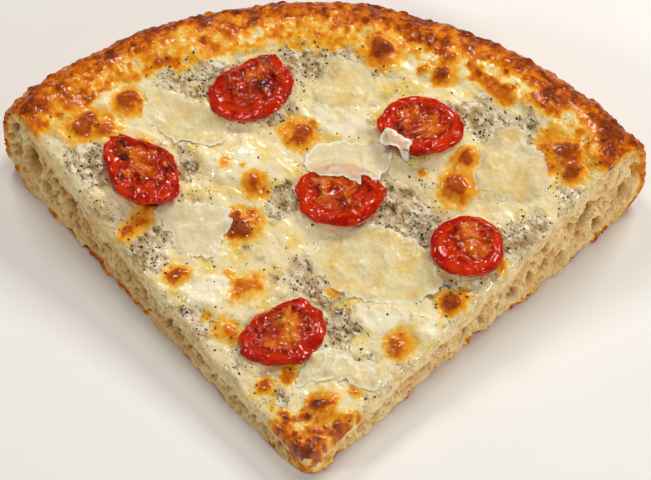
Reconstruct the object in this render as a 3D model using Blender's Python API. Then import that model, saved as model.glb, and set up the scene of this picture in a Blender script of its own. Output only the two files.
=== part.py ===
"""A quarter-cut slice of thick pan pizza with cream, melted and shaved cheese and cherry tomato halves.
Metres, +Z up. The slice points along -Y and its crust is at +Y. The origin is under its middle."""

import math

import bmesh
import bpy
from mathutils import Vector, noise
from mathutils.bvhtree import BVHTree

MM = 0.001

# The slice seen from above.
HALF_ANGLE = math.radians(44)  # half of the wedge between the two cuts
CUT_LENGTH = 152 * MM  # each cut side, from where the cuts meet to the outside of the crust
PIZZA_CENTRE = 23 * MM  # the cuts meet this far past the middle of the pizza
APEX_Y = -81.3 * MM  # where the two cuts would meet
TIP_ROUNDING = 6 * MM
TIP_SHIFT = 1.8 * MM  # the tip is cut a little to one side
TIP_SHIFT_END = 0.35  # share of the way over which the shift fades
RIM_SWAY = 0.9 * MM  # the crust bulges a little on the left and less on the right
RIM_RIPPLE = 0.5 * MM
PIZZA_RADIUS = math.hypot(
    CUT_LENGTH * math.sin(HALF_ANGLE), CUT_LENGTH * math.cos(HALF_ANGLE) - PIZZA_CENTRE
)

# The slice seen from the side.
TIP_HEIGHT = 11.5 * MM
FOOT_HEIGHT = 33.5 * MM  # the bread at the foot of the rim
RIM_HEIGHT = 38 * MM
FOOT_AT = 0.87  # share of the way from the tip to the outside
CREST_AT = 0.93
CRUMB_RISE = 1.75  # how late the bread thickens towards the rim
SIDE_LOW, SIDE_HIGH = 13 * MM, 23 * MM  # the upright band on the outside of the crust
BASE_CURL, CORNER_CURL = 0.05, 0.1  # share of the way over which the base turns up, mid slice and at the cuts
LEAN_TIP, LEAN_RIM = 1 * MM, 4.5 * MM  # how far a cut side leans in from base to top

# The layers.
GAP = 0.35 * MM  # clearance kept between pieces that touch
CREAM_DEPTH = 3 * MM
CREAM_EDGE = 1.3 * MM
CREAM_END, CREAM_END_SIDE = 0.895, 0.845  # share of the way that the cream covers, mid slice and at the cuts
CREAM_START = 0.03
CREAM_INSET = 1.2 * MM  # how far the cream stays back from the cuts
POOL_DEPTH = 2 * MM
POOL_EDGE = 0.6 * MM
SHAVING_DEPTH = 0.8 * MM
TOMATO_DEPTH = 5.6 * MM  # from the middle of a half to its underside
TOMATO_RISE = 3.6 * MM  # how far that middle stands above the cream
POOL_SLOPE, SHAVING_SLOPE = 0.6, 0.35  # the steepest that each lies over what is below it

# Melted mozzarella, one pool each: x and distance from the apex, length, width in mm, heading in degrees.
POOLS = (
    (-26, 97, 40, 19, -14),
    (-29, 53, 34, 19, -20),
    (6, 115, 24, 20, 12),
    (27, 131, 28, 9, -10),
    (54, 96, 38, 21, -2),
    (24, 49, 33, 15, -6),
    (6, 19, 18, 13, 4),
    (-68, 112, 17, 9, 32),
)
# Roasted cherry tomato halves: x, distance, length, width, heading, then tilt towards it and across it.
TOMATOES = (
    (-57, 90.5, 28, 21, -42, 4, -6),
    (-24.5, 121, 29, 20, 28, -5, 12),
    (30.5, 111, 28, 21, 2, 3, 2),
    (6, 87.5, 28, 22, -4, -3, 5),
    (47, 71.5, 24, 21, 0, 2, 3),
    (-9, 40.5, 28, 21, 27, -3, 6),
)
# Shaved hard cheese: x, distance, length, width in mm, heading in degrees.
SHAVINGS = (
    (-45, 109, 36, 15, -20),
    (7, 125, 30, 21, -62),
    (13, 99, 35, 13, 2),
    (22, 103, 12, 8, -35),
    (59, 97, 32, 24, -55),
    (-38, 75, 34, 19, -16),
    (17, 66, 41, 22, -14),
    (12, 29, 30, 12, 2),
)

# Finishes: red, green, blue, then roughness.
FINISHES = {
    "bread": ((0.72, 0.50, 0.25), 0.75),
    "truffle_cream": ((0.62, 0.57, 0.42), 0.45),
    "mozzarella": ((0.86, 0.76, 0.45), 0.35),
    "tomato": ((0.62, 0.05, 0.02), 0.2),
    "hard_cheese": ((0.84, 0.72, 0.43), 0.5),
}


def finish(name):
    """The Principled material of one food, made once."""
    material = bpy.data.materials.get(name)
    if material is None:
        colour, roughness = FINISHES[name]
        material = bpy.data.materials.new(name)
        material.use_nodes = True
        shader = material.node_tree.nodes["Principled BSDF"]
        shader.inputs["Base Color"].default_value = (*colour, 1)
        shader.inputs["Roughness"].default_value = roughness
        shader.inputs["Metallic"].default_value = 0
    return material


def add_solid(name, mesh_data, material, smooth=True):
    """Links a closed bmesh to the scene as one named object."""
    bmesh.ops.recalc_face_normals(mesh_data, faces=mesh_data.faces)
    mesh = bpy.data.meshes.new(name)
    mesh_data.to_mesh(mesh)
    mesh_data.free()
    if smooth:
        mesh.shade_smooth()
    mesh.materials.append(finish(material))
    piece = bpy.data.objects.new(name, mesh)
    bpy.context.scene.collection.objects.link(piece)
    return piece


def mix(a, b, share):
    return a + (b - a) * share


def smooth_step(low, high, value):
    share = min(1.0, max(0.0, (value - low) / (high - low)))
    return share * share * (3 - 2 * share)


def swell(x, y, size, seed):
    """A gentle unevenness from -1 to 1 with hills about size across."""
    return noise.noise(Vector((x / size, y / size, seed)))


# ---- the wedge in plan ----


def outer_reach(angle):
    """Distance from the apex to the outside of the crust in one direction."""
    across = PIZZA_CENTRE * math.sin(angle)
    circle = PIZZA_CENTRE * math.cos(angle) + math.sqrt(PIZZA_RADIUS**2 - across**2)
    return circle - RIM_SWAY * math.sin(2.6 * angle) + RIM_RIPPLE * math.cos(9 * angle)


def tip_reach(angle):
    """Distance from the apex to the rounded tip in one direction."""
    centre = TIP_ROUNDING / math.sin(HALF_ANGLE)
    across = centre * math.sin(angle)
    return centre * math.cos(angle) - math.sqrt(max(0.0, TIP_ROUNDING**2 - across**2))


def plan_point(way, side):
    """Plan position for a share of the way to the crust and a side from -1, left cut, to 1, right cut."""
    angle = side * HALF_ANGLE
    reach = mix(tip_reach(angle), outer_reach(angle), way)
    shift = TIP_SHIFT * max(0.0, 1 - way / TIP_SHIFT_END) ** 2
    return reach * math.sin(angle) + shift, APEX_Y + reach * math.cos(angle)


def way_at(x, y):
    """Share of the way from the tip to the outside of the crust at a plan position."""
    angle = math.atan2(x, y - APEX_Y)
    angle = min(HALF_ANGLE, max(-HALF_ANGLE, angle))
    inner, outer = tip_reach(angle), outer_reach(angle)
    return (math.hypot(x, y - APEX_Y) - inner) / (outer - inner)


# ---- the bread ----


def bread_top(x, y):
    """Height of the baked top of the bread: thin at the tip, then the raised and lumpy rim."""
    way = way_at(x, y)
    rise = min(1.0, max(0.0, way / FOOT_AT)) ** CRUMB_RISE
    height = mix(TIP_HEIGHT, FOOT_HEIGHT, rise)
    height += (RIM_HEIGHT - FOOT_HEIGHT) * smooth_step(FOOT_AT - 0.04, CREST_AT, way)
    height += 0.6 * MM * swell(x, y, 26 * MM, 3.0) * smooth_step(0, 0.15, way)
    height += 1.2 * MM * swell(x, y, 15 * MM, 8.0) * smooth_step(FOOT_AT, CREST_AT, way)
    if way > CREST_AT:
        fall = min(1.0, (way - CREST_AT) / (1 - CREST_AT))
        height = mix(SIDE_HIGH, height, math.sqrt(max(0.0, 1 - fall * fall)))
    return height


def bread_base(way, side):
    """Height of the underside: flat, then turned up at the outside of the crust."""
    width = mix(BASE_CURL, CORNER_CURL, side**6)
    curl = max(0.0, (way - 1 + width) / width)
    return SIDE_LOW * (1 - math.sqrt(1 - min(1.0, curl) ** 2))


def lean_at(way):
    return mix(LEAN_TIP, LEAN_RIM, way)


def set_back(x, y, back, way):
    """Moves a plan position squarely away from its cut side, less and less lengthwise towards the crust."""
    return x - back * math.cos(HALF_ANGLE), y + abs(back) * math.sin(HALF_ANGLE) * (1 - way)


def bread_point(way, side, up):
    """A point of the bread block from shares: of the way to the crust, side to side, and from base to top."""
    x, y = plan_point(way, side)
    height = mix(bread_base(way, side), bread_top(x, y), up)
    waver = 0.5 * MM * swell(y, height, 18 * MM, 5.0 + side) * 4 * up * (1 - up)
    back = (lean_at(way) * height / RIM_HEIGHT + waver) * side
    return *set_back(x, y, back, way), height


def add_block(name, point, ways, sides, ups, material):
    """A closed block of triangles on a lattice: only the lattice's outer shell becomes surface."""
    shell = bmesh.new()
    last = (len(ways) - 1, len(sides) - 1, len(ups) - 1)
    corners = {}

    def corner(*at):
        if at not in corners:
            corners[at] = shell.verts.new(point(ways[at[0]], sides[at[1]], ups[at[2]]))
        return corners[at]

    for axis in range(3):
        others = [n for n in range(3) if n != axis]
        for end in (0, last[axis]):
            for i in range(last[others[0]]):
                for j in range(last[others[1]]):
                    at = [0, 0, 0]
                    at[axis] = end
                    quad = []
                    for di, dj in ((0, 0), (1, 0), (1, 1), (0, 1)):
                        at[others[0]], at[others[1]] = i + di, j + dj
                        quad.append(corner(*at))
                    shell.faces.new((quad[0], quad[1], quad[2]))
                    shell.faces.new((quad[0], quad[2], quad[3]))
    return add_solid(name, shell, material)


def shares(count):
    """Evenly spaced shares from 0 to 1."""
    return [n / count for n in range(count + 1)]


def make_bread():
    ways = [FOOT_AT * share for share in shares(9)]
    ways += [mix(FOOT_AT, 1, share) for share in (0.23, 0.46, 0.65, 0.81, 0.92, 0.977, 1)]
    sides = [mix(-1, 1, s) for s in shares(22)]
    return add_block("bread", bread_point, ways, sides, shares(3), "bread")


# ---- what lies on the bread ----


def surface_tree(pieces):
    graph = bpy.context.evaluated_depsgraph_get()
    return [BVHTree.FromObject(piece, graph) for piece in pieces]


def height_over(trees, x, y, reach):
    """The highest surface within reach of a plan position, or the height of the bread if there is none."""
    turns = [math.tau * n / 8 for n in range(8)]
    steps = [(0.0, 0.0)] + [(r * math.cos(a), r * math.sin(a)) for r in (reach / 2, reach) for a in turns]
    best = -1.0
    for dx, dy in steps:
        for tree in trees:
            hit = tree.ray_cast(Vector((x + dx, y + dy, 1)), Vector((0, 0, -1)))[0]
            if hit is not None:
                best = max(best, hit.z)
    return best if best > 0 else bread_top(x, y)


def cream_plan(way, side):
    """Plan position on the cream, which stays back from the cuts and ends unevenly at the rim."""
    x, _ = plan_point(way, side)
    end = mix(CREAM_END, CREAM_END_SIDE, side * side) + 0.012 * swell(x, 0.0, 16 * MM, 2.0)
    x, y = plan_point(mix(CREAM_START, end, way), side)
    back = (lean_at(way) * bread_top(x, y) / RIM_HEIGHT + CREAM_INSET) * side
    return set_back(x, y, back, way)


def make_cream(bread):
    trees = surface_tree([bread])

    def point(way, side, up):
        x, y = cream_plan(way, side)
        bottom = height_over(trees, x, y, 1.0 * MM) + GAP
        inside = min(1.0, (1 - abs(side)) / 0.12, way / 0.08, (1 - way) / 0.06)
        depth = mix(CREAM_EDGE, CREAM_DEPTH, smooth_step(0, 1, inside))
        return x, y, bottom + depth * up

    ways = (0, 0.05, 0.12, 0.22, 0.33, 0.45, 0.57, 0.69, 0.81, 0.91, 0.96, 1)
    sides = [-1, -0.95] + [mix(-0.88, 0.88, s) for s in shares(14)] + [0.95, 1]
    return add_block("truffle_cream", point, ways, sides, (0, 1), "truffle_cream")


def ring_solid(name, rings, material):
    """A closed skin over rings of equal count, from a first single point to a last one."""
    skin = bmesh.new()
    loops = [[skin.verts.new(p) for p in ring] for ring in rings]
    count = len(loops[1])
    for low, high in zip(loops, loops[1:]):
        for n in range(count):
            m = (n + 1) % count
            if len(low) == 1:
                skin.faces.new((low[0], high[m], high[n]))
            elif len(high) == 1:
                skin.faces.new((low[n], low[m], high[0]))
            else:
                skin.faces.new((low[n], low[m], high[m]))
                skin.faces.new((low[n], high[m], high[n]))
    return add_solid(name, skin, material)


def oval(length, width, heading, angle, wobble, seed):
    """Plan offset of an uneven oval's edge at one angle round it."""
    uneven = 1 + wobble * noise.noise(Vector((1.3 * math.cos(angle), 1.3 * math.sin(angle), seed)))
    uneven += 0.5 * wobble * noise.noise(Vector((3 * math.cos(angle), 3 * math.sin(angle), seed + 9)))
    along = 0.5 * length * math.cos(angle) * uneven
    across = 0.5 * width * math.sin(angle) * uneven
    return (
        along * math.cos(heading) - across * math.sin(heading),
        along * math.sin(heading) + across * math.cos(heading),
    )


def draped(points, slope):
    """Lets every point of a sheet hold up the ones round it, so that the sheet is nowhere too steep."""
    for peak in sorted(points, key=lambda point: -point.z):
        for point in points:
            point.z = max(point.z, peak.z - slope * (peak - point).xy.length)


def settled(points, faces, trees, slope):
    """Raises the points of a sheet little by little until the sheet crosses nothing below it."""
    while True:
        draped(points, slope)
        sheet = BVHTree.FromPolygons(points, faces)
        crossing = {face for tree in trees for face, _ in sheet.overlap(tree)}
        if not crossing:
            return points
        for n in {corner for face in crossing for corner in faces[face]}:
            points[n].z += 0.1 * MM


def add_patch(name, spec, shape, trees, material):
    """A flat topping that lies on what is below it. shape holds its wobble, seed, depth at the middle
    and at the edge, the steepest slope it takes, and how far out each ring after the middle point is."""
    x, y, length, width, heading = spec
    wobble, seed, middle, edge, slope, ring_shares = shape
    count = 18
    depths = [middle]
    points = [Vector((x * MM, APEX_Y + y * MM, 0))]
    for share in ring_shares:
        for n in range(count):
            dx, dy = oval(length * MM, width * MM, math.radians(heading), math.tau * n / count, wobble, seed)
            points.append(points[0] + Vector((dx * share, dy * share, 0)))
            depths.append(mix(middle, edge, share**2))
    for point in points:
        point.z = height_over(trees, point.x, point.y, 0.8 * MM) + 0.02 * MM
    faces = [(0, 1 + n, 1 + (n + 1) % count) for n in range(count)]
    for low in range(1, 1 + count * (len(ring_shares) - 1), count):
        for n in range(count):
            a, b = low + n, low + (n + 1) % count
            faces += [(a, a + count, b + count), (a, b + count, b)]
    under = settled(points, faces, trees, slope)
    total = len(under)
    skin = bmesh.new()
    corners = [skin.verts.new(p + Vector((0, 0, GAP))) for p in under]
    corners += [skin.verts.new(p + Vector((0, 0, GAP + depth))) for p, depth in zip(under, depths)]
    for a, b, c in faces:
        skin.faces.new((corners[a], corners[c], corners[b]))
        skin.faces.new((corners[a + total], corners[b + total], corners[c + total]))
    for n in range(count):
        a, b = total - count + n, total - count + (n + 1) % count
        skin.faces.new((corners[a], corners[b], corners[b + total]))
        skin.faces.new((corners[a], corners[b + total], corners[a + total]))
    return add_solid(name, skin, material)


def tomato_rings(length, width, seed, grow=0.0):
    """The skin, the rolled lip and the sunken pulp of one roasted half, as rings from underside to middle."""
    skin = ((0.5, -0.93), (0.82, -0.62), (0.97, -0.2), (1.0, 0.12))
    pulp = ((0.93, 0.3), (0.8, 0.22), (0.62, 0.04), (0.3, 0.08))
    count = 18
    rings = [[Vector((0, 0, -TOMATO_DEPTH - grow))]]
    for share, up in skin + pulp:
        ring = []
        for n in range(count):
            angle = math.tau * n / count
            x, y = oval(length, width, 0.0, angle, 0.16, seed)
            out = 1 + grow / math.hypot(x, y)
            lip = 1 + 0.25 * math.sin(2 * angle + seed) * max(0.0, up)
            height = up * lip * TOMATO_DEPTH + (grow if up > 0 else grow * up)
            ring.append(Vector((x * share * out, y * share * out, height)))
        rings.append(ring)
    rings.append([Vector((0, 0, 0.12 * TOMATO_DEPTH + grow))])
    return rings


def tomato_pose(spec, trees):
    """Where one half stands: sunk a little into the cream, turned to its heading and tilted."""
    x, y, _, _, heading, pitch, roll = spec
    place = Vector((x * MM, APEX_Y + y * MM, 0))
    place.z = height_over(trees, place.x, place.y, 0) + TOMATO_RISE
    return place, [math.radians(v) for v in (heading, pitch, roll)]


def turned(point, place, angles):
    """The point turned by roll, pitch and heading, then moved to its place."""
    heading, pitch, roll = angles
    x, y, z = point
    y, z = y * math.cos(roll) - z * math.sin(roll), y * math.sin(roll) + z * math.cos(roll)
    x, z = x * math.cos(pitch) + z * math.sin(pitch), z * math.cos(pitch) - x * math.sin(pitch)
    x, y = x * math.cos(heading) - y * math.sin(heading), x * math.sin(heading) + y * math.cos(heading)
    return Vector((x, y, z)) + place


def make_tomatoes(cream):
    """The tomato halves, and hidden copies a gap larger that press their beds into the soft layers."""
    trees = surface_tree([cream])
    halves, beds = [], []
    for number, spec in enumerate(TOMATOES, 1):
        place, angles = tomato_pose(spec, trees)
        for grow, group, name in ((0.0, halves, f"tomato_half_{number}"), (GAP, beds, f"tomato_bed_{number}")):
            rings = tomato_rings(spec[2] * MM, spec[3] * MM, number * 2.7, grow)
            rings = [[turned(point, place, angles) for point in ring] for ring in rings]
            group.append(ring_solid(name, rings, "tomato"))
    for bed in beds:
        bed.hide_render = True
        bed.display_type = "WIRE"
    return halves, beds


def press(piece, beds):
    """Cuts the beds of the tomato halves out of a soft layer."""
    for bed in beds:
        cut = piece.modifiers.new(bed.name, "BOOLEAN")
        cut.operation = "DIFFERENCE"
        cut.object = bed


def near(spec, other):
    """Whether two toppings are close enough to touch."""
    return math.dist(spec[:2], other[:2]) < 0.5 * (spec[2] + other[2]) + 2


def main():
    for leftover in list(bpy.data.objects):
        bpy.data.objects.remove(leftover)
    bread = make_bread()
    cream = make_cream(bread)
    halves, beds = make_tomatoes(cream)
    soft_trees = surface_tree([bread, cream])
    pools = []
    for number, spec in enumerate(POOLS, 1):
        shape = (0.3, number * 1.9, POOL_DEPTH, POOL_EDGE, POOL_SLOPE, (0.4, 0.75, 1))
        pool = add_patch(f"mozzarella_{number}", spec, shape, soft_trees, "mozzarella")
        press(pool, [bed for bed, tomato in zip(beds, TOMATOES) if near(spec, tomato)])
        pools.append(pool)
    press(cream, beds)
    bpy.context.view_layer.update()
    support = surface_tree([bread, cream, *pools, *halves])
    for number, spec in enumerate(SHAVINGS, 1):
        shape = (0.34, number * 3.1, SHAVING_DEPTH, SHAVING_DEPTH, SHAVING_SLOPE, (0.36, 0.7, 1))
        shaving = add_patch(f"parmesan_shaving_{number}", spec, shape, support, "hard_cheese")
        bpy.context.view_layer.update()
        support += surface_tree([shaving])


main()
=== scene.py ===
# %% Truffle pizza slice
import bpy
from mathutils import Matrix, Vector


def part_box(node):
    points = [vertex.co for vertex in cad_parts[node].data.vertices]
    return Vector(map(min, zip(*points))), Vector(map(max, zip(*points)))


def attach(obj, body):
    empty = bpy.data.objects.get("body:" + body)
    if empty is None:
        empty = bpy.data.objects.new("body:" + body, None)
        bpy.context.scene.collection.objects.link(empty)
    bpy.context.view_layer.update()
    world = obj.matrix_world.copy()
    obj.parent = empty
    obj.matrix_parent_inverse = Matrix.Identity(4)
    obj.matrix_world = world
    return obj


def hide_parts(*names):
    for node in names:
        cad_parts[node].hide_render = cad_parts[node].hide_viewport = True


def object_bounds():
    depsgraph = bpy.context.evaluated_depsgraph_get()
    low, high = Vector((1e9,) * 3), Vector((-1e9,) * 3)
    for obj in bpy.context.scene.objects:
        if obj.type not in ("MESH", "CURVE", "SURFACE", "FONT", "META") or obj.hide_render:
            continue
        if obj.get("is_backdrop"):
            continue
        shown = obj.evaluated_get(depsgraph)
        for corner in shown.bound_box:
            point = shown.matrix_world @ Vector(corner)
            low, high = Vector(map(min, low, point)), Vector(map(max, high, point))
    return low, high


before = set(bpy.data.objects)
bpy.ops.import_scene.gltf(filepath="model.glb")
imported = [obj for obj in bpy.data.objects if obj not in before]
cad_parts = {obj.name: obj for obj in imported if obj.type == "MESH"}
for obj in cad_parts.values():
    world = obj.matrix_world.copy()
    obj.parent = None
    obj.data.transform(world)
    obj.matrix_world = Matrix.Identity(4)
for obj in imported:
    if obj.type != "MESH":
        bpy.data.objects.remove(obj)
cad_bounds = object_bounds()

import math

import bpy
import numpy as np
from mathutils import Vector, noise
from mathutils.bvhtree import BVHTree
from mathutils.geometry import delaunay_2d_cdt
from mathutils.kdtree import KDTree

print("CAD box in mm:", [[round(v * 1000, 1) for v in corner] for corner in cad_bounds])

# %% [markdown]
# ## The plan of the slice
#
# The slice is a wedge between two cuts that meet at the apex, closed by the round outside of the crust.
# Every later step asks the same few questions of it: where is this point on the way from tip to crust, how
# high is the bread there. They could be answered by casting rays at the CAD solid, but its facets would
# show in a fine surface, so the same formulas are written again here for whole arrays of points. Everything
# is in millimetres until a mesh is made.

# %% Plan
MM = 0.001
HALF_ANGLE = math.radians(44)
CUT_LENGTH = 152
CORNER_X, CORNER_ALONG = CUT_LENGTH * math.sin(HALF_ANGLE), CUT_LENGTH * math.cos(HALF_ANGLE)
PIZZA_CENTRE = 23
PIZZA_RADIUS = math.hypot(CORNER_X, CORNER_ALONG - PIZZA_CENTRE)
APEX_Y = -81.3
TIP_ROUNDING = 6
TIP_CENTRE = TIP_ROUNDING / math.sin(HALF_ANGLE)
TIP_SHIFT, TIP_SHIFT_END = 1.8, 0.35


def mix(a, b, share):
    return a + (b - a) * share


def smooth_step(low, high, value):
    share = np.clip((value - low) / (high - low), 0, 1)
    return share * share * (3 - 2 * share)


def outer_reach(angle):
    """Distance from the apex to the outside of the crust, which a hand-made round leaves slightly uneven."""
    circle = PIZZA_CENTRE * np.cos(angle) + np.sqrt(PIZZA_RADIUS**2 - (PIZZA_CENTRE * np.sin(angle)) ** 2)
    return circle - 0.9 * np.sin(2.6 * angle) + 0.5 * np.cos(9 * angle)


def tip_reach(angle):
    """Distance from the apex to the rounded tip."""
    aside = TIP_CENTRE * np.sin(angle)
    return TIP_CENTRE * np.cos(angle) - np.sqrt(np.maximum(0, TIP_ROUNDING**2 - aside**2))


def plan(way, side):
    """Plan position for a share of the way to the crust and a side from -1, left cut, to 1, right cut."""
    angle = side * HALF_ANGLE
    reach = mix(tip_reach(angle), outer_reach(angle), way)
    shift = TIP_SHIFT * np.maximum(0, 1 - way / TIP_SHIFT_END) ** 2
    return reach * np.sin(angle) + shift, APEX_Y + reach * np.cos(angle)


def way_and_side(x, y):
    """The inverse of plan, without the small shift of the tip."""
    angle = np.clip(np.arctan2(x, y - APEX_Y), -HALF_ANGLE, HALF_ANGLE)
    inner, outer = tip_reach(angle), outer_reach(angle)
    return (np.hypot(x, y - APEX_Y) - inner) / (outer - inner), angle / HALF_ANGLE


print("radius of the whole pizza in mm:", round(PIZZA_RADIUS, 1))

# %% [markdown]
# ## Unevenness
#
# Baked food is uneven at every size. Two kinds of noise cover it: smooth hills, added up in octaves, and
# round cells, which make nodules and bubbles. Blender's noise works on one point at a time, so both are
# written here for whole arrays, from a hash of whole-number lattice points. The same seed always gives the
# same surface.

# %% Hills
def lattice(i, j, k, seed):
    """A repeatable random number from 0 to 1 for each whole-number point."""
    n = (i * 73856093) ^ (j * 19349663) ^ (k * 83492791) ^ (seed * 40503 + 977)
    n &= 0xFFFFFFFF
    n = ((n ^ (n >> 13)) * 1274126177) & 0xFFFFFFFF
    n = ((n ^ (n >> 16)) * 1540483477) & 0xFFFFFFFF
    return (n ^ (n >> 15)) / 4294967296


def hills(x, y, z, size, seed=0):
    """Smooth noise from -1 to 1 with hills about size across."""
    x, y, z = np.broadcast_arrays(x / size, y / size, z / size)
    i, j, k = (np.floor(v).astype(np.int64) for v in (x, y, z))
    u, v, w = (t * t * t * (t * (t * 6 - 15) + 10) for t in (x - i, y - j, z - k))
    total = 0
    for di, wi in ((0, 1 - u), (1, u)):
        for dj, wj in ((0, 1 - v), (1, v)):
            for dk, wk in ((0, 1 - w), (1, w)):
                total = total + wi * wj * wk * lattice(i + di, j + dj, k + dk, seed)
    return total * 2 - 1


def rough(x, y, z, size, octaves=3, seed=0):
    """Hills with smaller hills on them, from about -1 to 1. Each octave is turned so that no grid shows."""
    total, weight = 0, 0
    for n in range(octaves):
        x, y, z = x * 0.8 - y * 0.6 + 17.3, x * 0.6 + y * 0.8 + 5.1, z + 11.7
        total = total + hills(x, y, z, size / 2**n, seed + n) / 2**n
        weight += 1 / 2**n
    return 1.5 * total / weight


trial = rough(*np.random.default_rng(0).uniform(0, 200, (3, 4000)), 5)
print("rough noise runs from", round(float(trial.min()), 2), "to", round(float(trial.max()), 2))

# %% Cells
def cells(x, y, size, seed=0):
    """Distance from the nearest scattered centre, as a share of size, and a random number for each centre."""
    x, y = x / size, y / size
    i, j = np.floor(x).astype(np.int64), np.floor(y).astype(np.int64)
    nearest, pick = np.full(x.shape, 9.0), np.zeros(x.shape)
    for di in (-1, 0, 1):
        for dj in (-1, 0, 1):
            cx = i + di + 0.15 + 0.7 * lattice(i + di, j + dj, 0, seed)
            cy = j + dj + 0.15 + 0.7 * lattice(i + di, j + dj, 1, seed)
            away = np.hypot(x - cx, y - cy)
            closer = away < nearest
            nearest = np.where(closer, away, nearest)
            pick = np.where(closer, lattice(i + di, j + dj, 2, seed), pick)
    return nearest, pick


def domes(near, reach):
    """Round domes on the centres of cells, 1 high, that end at a share of the cell's size."""
    return np.maximum(0, 1 - (near / reach) ** 2)


# %% [markdown]
# ## The height of the bread
#
# The dough is pressed thin at the tip and swells towards the rim, which stands highest because no topping
# weighs it down. The underside is flat and turns up where the dough left the pan. The cut faces lean in a
# little, as a soft slice does when the knife pulls it. These shapes could be sculpted, but as formulas the
# cream, the cheese and the crust can all ask for them.

# %% Bread heights
TIP_HEIGHT, FOOT_HEIGHT, RIM_HEIGHT = 11.5, 33.5, 38
FOOT_AT, CREST_AT = 0.87, 0.93  # share of the way where the rim starts to rise and where it is highest
CRUMB_RISE = 1.75
SIDE_LOW, SIDE_HIGH = 13, 23
BASE_CURL, CORNER_CURL = 0.05, 0.1
LEAN_TIP, LEAN_RIM = 1, 4.5


def bread_top(x, y):
    way, _ = way_and_side(x, y)
    height = mix(TIP_HEIGHT, FOOT_HEIGHT, np.clip(way / FOOT_AT, 0, 1) ** CRUMB_RISE)
    height = height + (RIM_HEIGHT - FOOT_HEIGHT) * smooth_step(FOOT_AT - 0.04, CREST_AT, way)
    height = height + 0.6 * hills(x, y, 3.0, 26, 1) * smooth_step(0, 0.15, way)
    height = height + 1.0 * hills(x, y, 8.0, 15, 2) * smooth_step(FOOT_AT, CREST_AT, way)
    fall = np.clip((way - CREST_AT) / (1 - CREST_AT), 0, 1)
    return np.where(way > CREST_AT, mix(SIDE_HIGH, height, np.sqrt(1 - fall * fall)), height)


def bread_base(way, side):
    width = mix(BASE_CURL, CORNER_CURL, side**6)
    curl = np.clip((way - 1 + width) / width, 0, 1)
    return SIDE_LOW * (1 - np.sqrt(1 - curl**2))


def set_back(x, y, back, way):
    """Moves a plan position squarely away from its cut side, less and less lengthwise towards the crust."""
    return x - back * math.cos(HALF_ANGLE), y + np.abs(back) * math.sin(HALF_ANGLE) * (1 - way)


def lean(way, side, height):
    """How far a cut side leans in at one height."""
    return mix(LEAN_TIP, LEAN_RIM, way) * height / RIM_HEIGHT * side


for word, way in (("tip", 0.0), ("foot of the rim", FOOT_AT), ("crest", CREST_AT)):
    print("bread height in mm,", word, round(float(bread_top(*plan(way, 0.0))), 1))

# %% [markdown]
# ## Building meshes
#
# Surfaces that run along a path, such as the outside of the crust and the tomato halves, are grids. Patches
# with a free outline, such as the cream, the cheese and the shavings, are filled with an even triangle
# pattern by a constrained triangulation, because a grid would crowd together at their narrow ends. Each
# point also carries named values, such as how brown it is, which the materials read.

# %% A piece from points
def make_piece(name, points, faces, values, material):
    """A smooth mesh object from points in millimetres, with one value of each kind per point."""
    mesh = bpy.data.meshes.new(name)
    mesh.from_pydata((np.asarray(points) * MM).tolist(), [], faces)
    for kind, numbers in values.items():
        layer = mesh.attributes.new(kind, "FLOAT", "POINT")
        layer.data.foreach_set("value", np.asarray(numbers, np.float32).ravel())
    mesh.shade_smooth()
    mesh.materials.append(material)
    piece = bpy.data.objects.new(name, mesh)
    bpy.context.scene.collection.objects.link(piece)
    print(f"{name}: {len(mesh.vertices)} points, {len(mesh.polygons)} faces")
    return piece


def face_normals(points, faces):
    """A normal for each face, as long as the face is large."""
    a, b, c = points[faces[:, 0]], points[faces[:, 1]], points[faces[:, 2]]
    return np.cross(b - a, c - a)


# %% Grids
def grid_faces(rows, columns, start=0, closed=False, turned=False):
    """Quads of a grid of points numbered row by row."""
    r, c = np.meshgrid(np.arange(rows - 1), np.arange(columns if closed else columns - 1), indexing="ij")
    a = r * columns + c
    b = r * columns + (c + 1) % columns
    quads = np.stack([a, b, b + columns, a + columns], -1).reshape(-1, 4) + start
    return (quads[:, ::-1] if turned else quads).tolist()


def grid_normals(points):
    """Unit normals of a grid of points."""
    normal = np.cross(np.gradient(points, axis=1), np.gradient(points, axis=0))
    return normal / np.maximum(1e-9, np.linalg.norm(normal, axis=-1, keepdims=True))


# %% Outlines
def run_along(points):
    """Distance run along a line at each of its points."""
    return np.concatenate([[0], np.cumsum(np.linalg.norm(np.diff(points, axis=0), axis=1))])


def spaced(outline, spacing):
    """The same closed outline with points at even distances."""
    ends = np.vstack([outline, outline[:1]])
    run = run_along(ends)
    at = np.linspace(0, run[-1], max(8, round(run[-1] / spacing)), endpoint=False)
    return np.stack([np.interp(at, run, ends[:, 0]), np.interp(at, run, ends[:, 1])], -1)


def inside(outline, x, y):
    """Which points lie inside a closed outline."""
    found = np.zeros(x.shape, bool)
    for (x0, y0), (x1, y1) in zip(outline, np.roll(outline, -1, axis=0)):
        crosses = (y0 > y) != (y1 > y)
        found ^= crosses & (x < (x1 - x0) * (y - y0) / (y1 - y0 + 1e-12) + x0)
    return found


# %% Filling an outline
EDGE_ROOM = 0.55  # how near the outline an inner point may come, as a share of the spacing


def lookup(points):
    """A tree that finds the nearest of some points. Plan points count as lying at height 0."""
    tree = KDTree(len(points))
    for n, point in enumerate(points):
        tree.insert((*point, 0.0)[:3], n)
    tree.balance()
    return tree


def distances(tree, points):
    return np.array([tree.find((*point, 0.0)[:3])[2] for point in points])


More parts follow.
